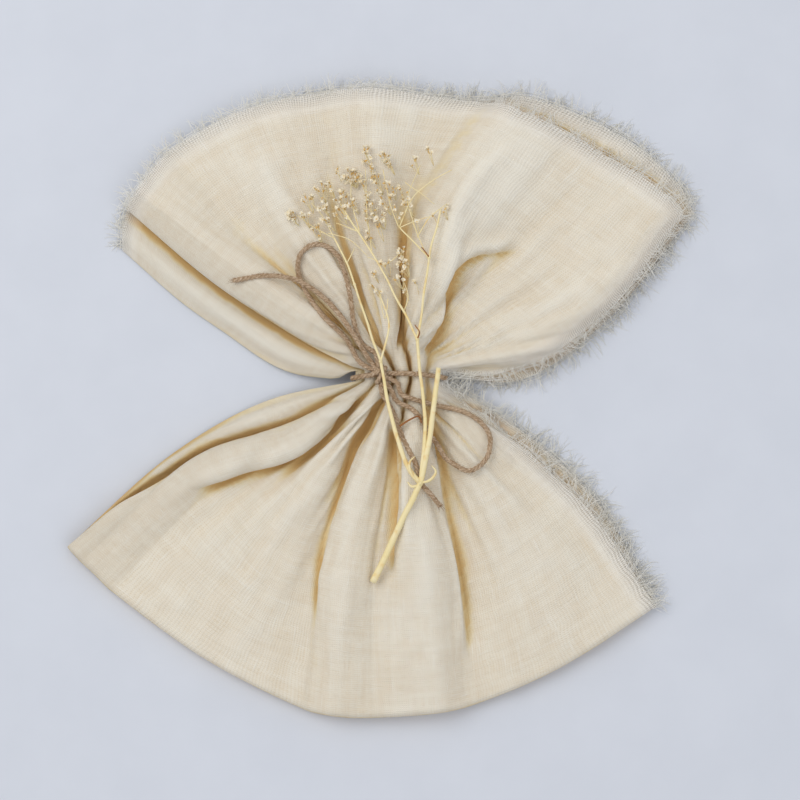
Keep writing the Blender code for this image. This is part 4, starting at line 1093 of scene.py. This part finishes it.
def make_fringes(finish, points, middle_row, middle_column):
    """The frayed yarns that stand out from each raw edge, and the loose ones that run along it."""
    pieces = []
    for name, which, place, fan, (shortest, longest) in FRINGES:
        heap = Heap()
        for number, (edge, inside) in enumerate(edge_lines(points, middle_row, middle_column, which, place, fan)):
            chance = random.Random(f"{name} {number}")
            arc = np.concatenate([[0.0], np.cumsum(np.linalg.norm(np.diff(edge, axis=0), axis=1))])
            out = edge - inside
            run = np.gradient(edge, axis=0)
            run /= np.linalg.norm(run, axis=1, keepdims=True)
            out -= run * np.sum(out * run, axis=1, keepdims=True)
            out /= np.linalg.norm(out, axis=1, keepdims=True)
            start, limit = 0.6, arc[-1] - 0.6
            clumps = [start]
            while clumps[-1] < limit:
                clumps.append(clumps[-1] + chance.uniform(1.6, 5.2))
            leans = [chance.gauss(LEAN[place], 0.45) for _ in clumps]
            reaches = [chance.uniform(0.72, 1.18) for _ in clumps]
            curls = [chance.gauss(0.25, 0.7) for _ in clumps]
            stop = start
            while stop < limit:
                stop += YARN * chance.uniform(0.55, 1.3)
                root = np.array([np.interp(stop, arc, edge[:, axis]) for axis in range(3)])
                ahead = np.array([np.interp(stop, arc, out[:, axis]) for axis in range(3)])
                aside = np.array([np.interp(stop, arc, run[:, axis]) for axis in range(3)])
                ahead[2] *= 0.35
                clump = min(range(len(clumps)), key=lambda place_at: abs(clumps[place_at] - stop))
                length = chance.uniform(shortest, longest) * reaches[clump]
                if chance.random() < 0.12:
                    length *= 0.5
                gathered = 0.7 * (clumps[clump] - stop) / length
                heading = leans[clump] + gathered + chance.gauss(0.0, 0.2)
                curl = curls[clump] - 0.5 * gathered + chance.gauss(0.0, 0.45)
                phase = chance.uniform(0.0, 6.0)
                line = []
                here = root - ahead * 1.6 + np.array([0.0, 0.0, 0.1])
                steps = 8
                for step in range(steps):
                    crimp = 0.14 * math.sin(phase + 2.4 * step)
                    line.append(here + aside * crimp)
                    way = ahead * math.cos(heading) + aside * math.sin(heading)
                    here = here + way * (length + 1.6) / (steps - 1)
                    droop = -0.16 * step * length / 8.0 + chance.uniform(-0.10, 0.12)
                    here = here + np.array([0.0, 0.0, droop])
                    here[2] = max(here[2], 0.25)
                    heading += curl / steps + chance.gauss(0.0, 0.10)
                thick = THREAD_RADIUS * chance.uniform(0.7, 1.3)
                heap.add(*tube(np.array(line), thick * np.array([0.9, 1, 1, 1, 0.95, 0.85, 0.7, 0.3]), 3))
            for gap in (0.2, 0.6, 1.1, 1.8):
                place_now = start
                while place_now < limit - 6.0:
                    span = chance.uniform(8.0, 30.0)
                    stops = np.arange(place_now, min(place_now + span, limit), 1.3)
                    place_now += span + chance.uniform(0.0, 10.0 * gap)
                    if len(stops) < 3:
                        continue
                    away = gap + np.cumsum([chance.gauss(0.0, 0.10) for _ in stops])
                    line = np.stack([np.interp(stops, arc, edge[:, axis]) for axis in range(3)], axis=1)
                    line += np.stack([np.interp(stops, arc, out[:, axis]) for axis in range(3)], axis=1) * away[:, None]
                    line[:, 2] = np.maximum(line[:, 2] + 0.1, 0.3)
                    heap.add(*tube(line, np.full(len(line), THREAD_RADIUS * 0.9), 3))
        piece = heap.make(f"threads_{name}", finish, smooth=False)
        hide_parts(name)
        pieces.append(piece)
    return pieces


def wobbled(path, size, seed):
    """A path with small natural bends."""
    arc = np.concatenate([[0.0], np.cumsum(np.linalg.norm(np.diff(path, axis=0), axis=1))])
    shift = np.stack([lattice_noise(np.stack([arc / 9.0, arc * 0 + axis * 5.1], axis=1), seed) for axis in range(3)], axis=1)
    ease = np.minimum(1, np.minimum(arc, arc[-1] - arc) / 6.0)[:, None]
    return path + shift * size * ease


def small_ball(centre, size, chance):
    """A rough little eight-sided bead."""
    points = []
    for height, reach in ((-1.0, 0.25), (-0.4, 0.95), (0.4, 0.9), (1.0, 0.3)):
        for side in range(5):
            turn = 2 * math.pi * side / 5 + height
            grow = 1 + chance.uniform(-0.15, 0.15)
            points.append(
                (
                    centre[0] + size * reach * grow * math.cos(turn),
                    centre[1] + size * reach * grow * math.sin(turn),
                    centre[2] + size * height * grow,
                )
            )
    faces = []
    for ring in range(3):
        for side in range(5):
            beside = (side + 1) % 5
            faces.append((ring * 5 + side, ring * 5 + beside, (ring + 1) * 5 + beside, (ring + 1) * 5 + side))
    faces.append((4, 3, 2, 1, 0))
    faces.append((15, 16, 17, 18, 19))
    return points, faces


def floret(petals, calyxes, centre, facing, size, white, chance):
    """One dried floret: a golden calyx and crumpled petals that open from it."""
    facing = facing / np.linalg.norm(facing)
    side = np.cross(facing, (0.3, 0.2, 1.0))
    side /= np.linalg.norm(side)
    other = np.cross(facing, side)
    base = centre - facing * size * 0.5
    line = np.array([base - facing * size * 0.5, base, base + facing * size * 0.45])
    calyxes.add(*tube(line, np.array([0.16, 0.34, 0.26]) * size, 5))
    count = 5 + int(3 * white)
    for petal in range(count):
        turn = 2 * math.pi * (petal + chance.uniform(-0.25, 0.25)) / count
        out = math.cos(turn) * side + math.sin(turn) * other
        across = np.cross(out, facing)
        open_by = chance.uniform(0.35, 1.15) * (0.45 + 0.65 * white)
        length = size * chance.uniform(0.75, 1.15)
        wide = size * chance.uniform(0.26, 0.42)
        points = []
        for step, (reach, width, curl) in enumerate(((0.1, 0.3, 0.0), (0.55, 1.0, 0.0), (0.85, 0.95, 0.1), (1.0, 0.35, 0.25))):
            spine = base + facing * size * 0.2 + (out * math.sin(open_by) + facing * math.cos(open_by)) * length * reach
            spine = spine + out * curl * length
            ruffle = facing * chance.uniform(-0.12, 0.12) * size
            points.append(spine - across * wide * width + ruffle)
            points.append(spine + facing * 0.12 * size * (step % 2))
            points.append(spine + across * wide * width - ruffle)
        faces = []
        for step in range(3):
            for part in range(2):
                corner = step * 3 + part
                faces.append((corner, corner + 1, corner + 4, corner + 3))
        petals.add(points, faces)


def make_sprig(stem_finish, petal_finish, calyx_finish, dark_finish):
    """The dried sprig: stems with their joints, thin twigs, and heads of small florets."""
    chance = random.Random("sprig")
    stems, petals, calyxes, dark = Heap(), Heap(), Heap(), Heap()
    for number, (first, last, route) in enumerate(STEMS):
        path = wobbled(smooth_route(route, 1.6), 0.25, 50 + number)
        radii = np.linspace(first, last, len(path))
        arc = np.arange(len(path)) * 1.6
        radii *= 1 + 0.06 * lattice_noise(np.stack([arc / 3.0, arc * 0], axis=1), 70 + number)
        stems.add(*tube(path, radii, 8))
    for joint, size in ((LOW_JOINT, 1.5), (RIGHT_JOINT, 0.95), (LEFT_JOINT, 0.9), (SIDE_JOINT, 0.75), ((-11.4, 44.2, 16.0), 0.75)):
        stems.add(*small_ball(joint, size, chance))
    for number, (radius, route) in enumerate(TWIGS):
        places = [(*from_pixel(across, down), height) for across, down, height in route]
        path = wobbled(smooth_route(places, 1.5), 0.3, 90 + number)
        stems.add(*tube(path, np.linspace(radius, 0.6 * radius, len(path)), 5))
    for bract in (
        ((14.2, -33.1, 19.4), (11.0, -30.0, 20.0), (10.2, -24.5, 19.6), (12.2, -22.6, 19.2)),
        ((14.4, -33.0, 19.4), (18.0, -31.8, 19.8), (20.2, -28.4, 19.4), (18.6, -26.2, 19.0)),
        ((14.0, -33.6, 19.2), (10.8, -34.4, 19.2), (9.2, -32.6, 18.6)),
    ):
        path = smooth_route(bract, 0.9)
        radii = 0.5 * np.sin(np.linspace(0.5, math.pi - 0.1, len(path))) + 0.12
        stems.add(*tube(path, radii, 5))
    for number, (radius, route) in enumerate(
        (
            (0.45, ((6.2, -10.9, 15.6), (10.2, -8.4, 16.2), (13.9, -7.3, 16.6), (14.6, -9.6, 16.4))),
            (0.3, ((17.7, 54.4, 19.6), (15.6, 57.4, 19.4), (14.6, 58.6, 19.2))),
            (0.35, ((13.0, 22.9, 17.8), (13.8, 25.4, 18.0), (12.0, 28.4, 17.8))),
        )
    ):
        path = wobbled(smooth_route(route, 0.8), 0.15, 120 + number)
        dark.add(*tube(path, np.linspace(radius, 0.6 * radius, len(path)), 5))
    for across, down, height, spread, count, white in FLORETS:
        middle = np.array([*from_pixel(across, down), height])
        root = middle + np.array([2.0, -5.0, -1.2])
        for _ in range(count):
            turn, far = chance.uniform(0, 2 * math.pi), math.sqrt(chance.random()) * spread * PIXEL
            shift = np.array([math.cos(turn) * far, math.sin(turn) * far, chance.uniform(-1.0, 1.4)])
            centre = middle + shift
            facing = shift * 0.5 + np.array([-0.3, 0.7, 0.9]) + np.array([chance.uniform(-0.5, 0.5) for _ in range(3)])
            size = chance.uniform(0.95, 1.45) * (1.15 if white > 0.7 else 1.0)
            floret(petals, calyxes, centre, facing, size, white, chance)
            bend = 0.5 * (root + centre) + np.array([chance.uniform(-0.6, 0.6) for _ in range(3)])
            stems.add(*tube(smooth_route((root, bend, centre), 1.6), np.full(max(int(round(float(np.linalg.norm(bend - root) + np.linalg.norm(centre - bend)) / 1.6)), 1) + 1, 0.13), 3))
    stem_piece = stems.make("sprig_stems", stem_finish)
    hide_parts("sprig")
    for heap, name, finish, slot in (
        (petals, "sprig_petals", petal_finish, "dried_flowers"),
        (calyxes, "sprig_calyxes", calyx_finish, "dried_flowers"),
        (dark, "sprig_dark_twigs", dark_finish, "dried_stems"),
    ):
        piece = heap.make(name, finish)
        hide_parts("sprig")


def add_light(name, place, size, power, colour, aim=(0.0, 0.0, 0.0)):
    """A soft square light aimed at one point, in metres."""
    light = bpy.data.lights.new(name, "AREA")
    light.shape = "SQUARE"
    light.size = size
    light.energy = power
    light.color = colour
    lamp = bpy.data.objects.new(name, light)
    bpy.context.scene.collection.objects.link(lamp)
    lamp.location = place
    away = np.array(place) - np.array(aim)
    flat = math.hypot(away[0], away[1])
    lamp.rotation_euler = (math.atan2(flat, away[2]), 0.0, math.atan2(away[0], -away[1]))


def studio():
    """A plain pale floor, soft light from all round and a camera straight above."""
    scene = bpy.context.scene
    floor_finish = plain_finish("pale_floor", ((0.665, 0.695, 0.755), (0.685, 0.715, 0.775)), 0.9, 30.0)
    mesh = bpy.data.meshes.new("floor")
    reach = 3.0
    mesh.from_pydata([(-reach, -reach, 0), (reach, -reach, 0), (reach, reach, 0), (-reach, reach, 0)], [], [(0, 1, 2, 3)])
    mesh.materials.append(floor_finish)
    floor = bpy.data.objects.new("floor", mesh)
    scene.collection.objects.link(floor)
    world = bpy.data.worlds.new("pale_room")
    world.use_nodes = True
    back = world.node_tree.nodes["Background"]
    back.inputs[0].default_value = (0.93, 0.95, 1.0, 1.0)
    back.inputs[1].default_value = 0.62
    scene.world = world
    add_light("window", (-0.9, 0.7, 1.5), 1.2, 13.5, (1.0, 0.98, 0.95))
    add_light("fill", (1.1, -0.5, 1.6), 1.4, 4.6, (1.0, 0.98, 0.96))
    camera = bpy.data.cameras.new("camera")
    camera.sensor_width = 36.0
    height = 1.3
    width = FRAME_PIXELS * PIXEL * METRES
    camera.lens = camera.sensor_width * height / width
    eye = bpy.data.objects.new("camera", camera)
    centre = from_pixel(0.5 * FRAME_PIXELS, 0.5 * FRAME_PIXELS)
    eye.location = (*in_metres([(*centre, 0.0)])[0][:2], height)
    scene.collection.objects.link(eye)
    scene.camera = eye
    scene.view_settings.view_transform = "Standard"


def main():
    finish = muslin()
    cloth, points, middle_row, middle_column = make_cloth(finish)
    threads = make_fringes(thread_finish(), points, middle_row, middle_column)
    twine = plain_finish("jute_twine", ((0.34, 0.22, 0.125), (0.52, 0.385, 0.26), (0.66, 0.52, 0.38)), 0.9, 500.0, 0.0004)
    make_cords(twine)
    neck = middle_row + CLOSE_ROWS[0] + CLOSE_ROWS[1] // 2
    under_neck = middle_row - (COARSE_ROWS[0] + COARSE_ROWS[1] // 2)
    make_tie(twine, np.concatenate([points[neck], points[under_neck]]))
    make_sprig(
        plain_finish("dried_stems", ((0.90, 0.76, 0.40), (0.93, 0.81, 0.50), (0.86, 0.64, 0.28)), 0.5, 90.0),
        plain_finish("dried_flowers", ((0.90, 0.84, 0.68), (0.86, 0.72, 0.46), (0.94, 0.91, 0.82)), 0.9, 700.0),
        plain_finish("dried_calyxes", ((0.86, 0.62, 0.26), (0.72, 0.42, 0.13)), 0.85, 500.0),
        plain_finish("dark_twigs", ((0.40, 0.17, 0.05), (0.28, 0.11, 0.04)), 0.8, 400.0),
    )
    studio()


main()
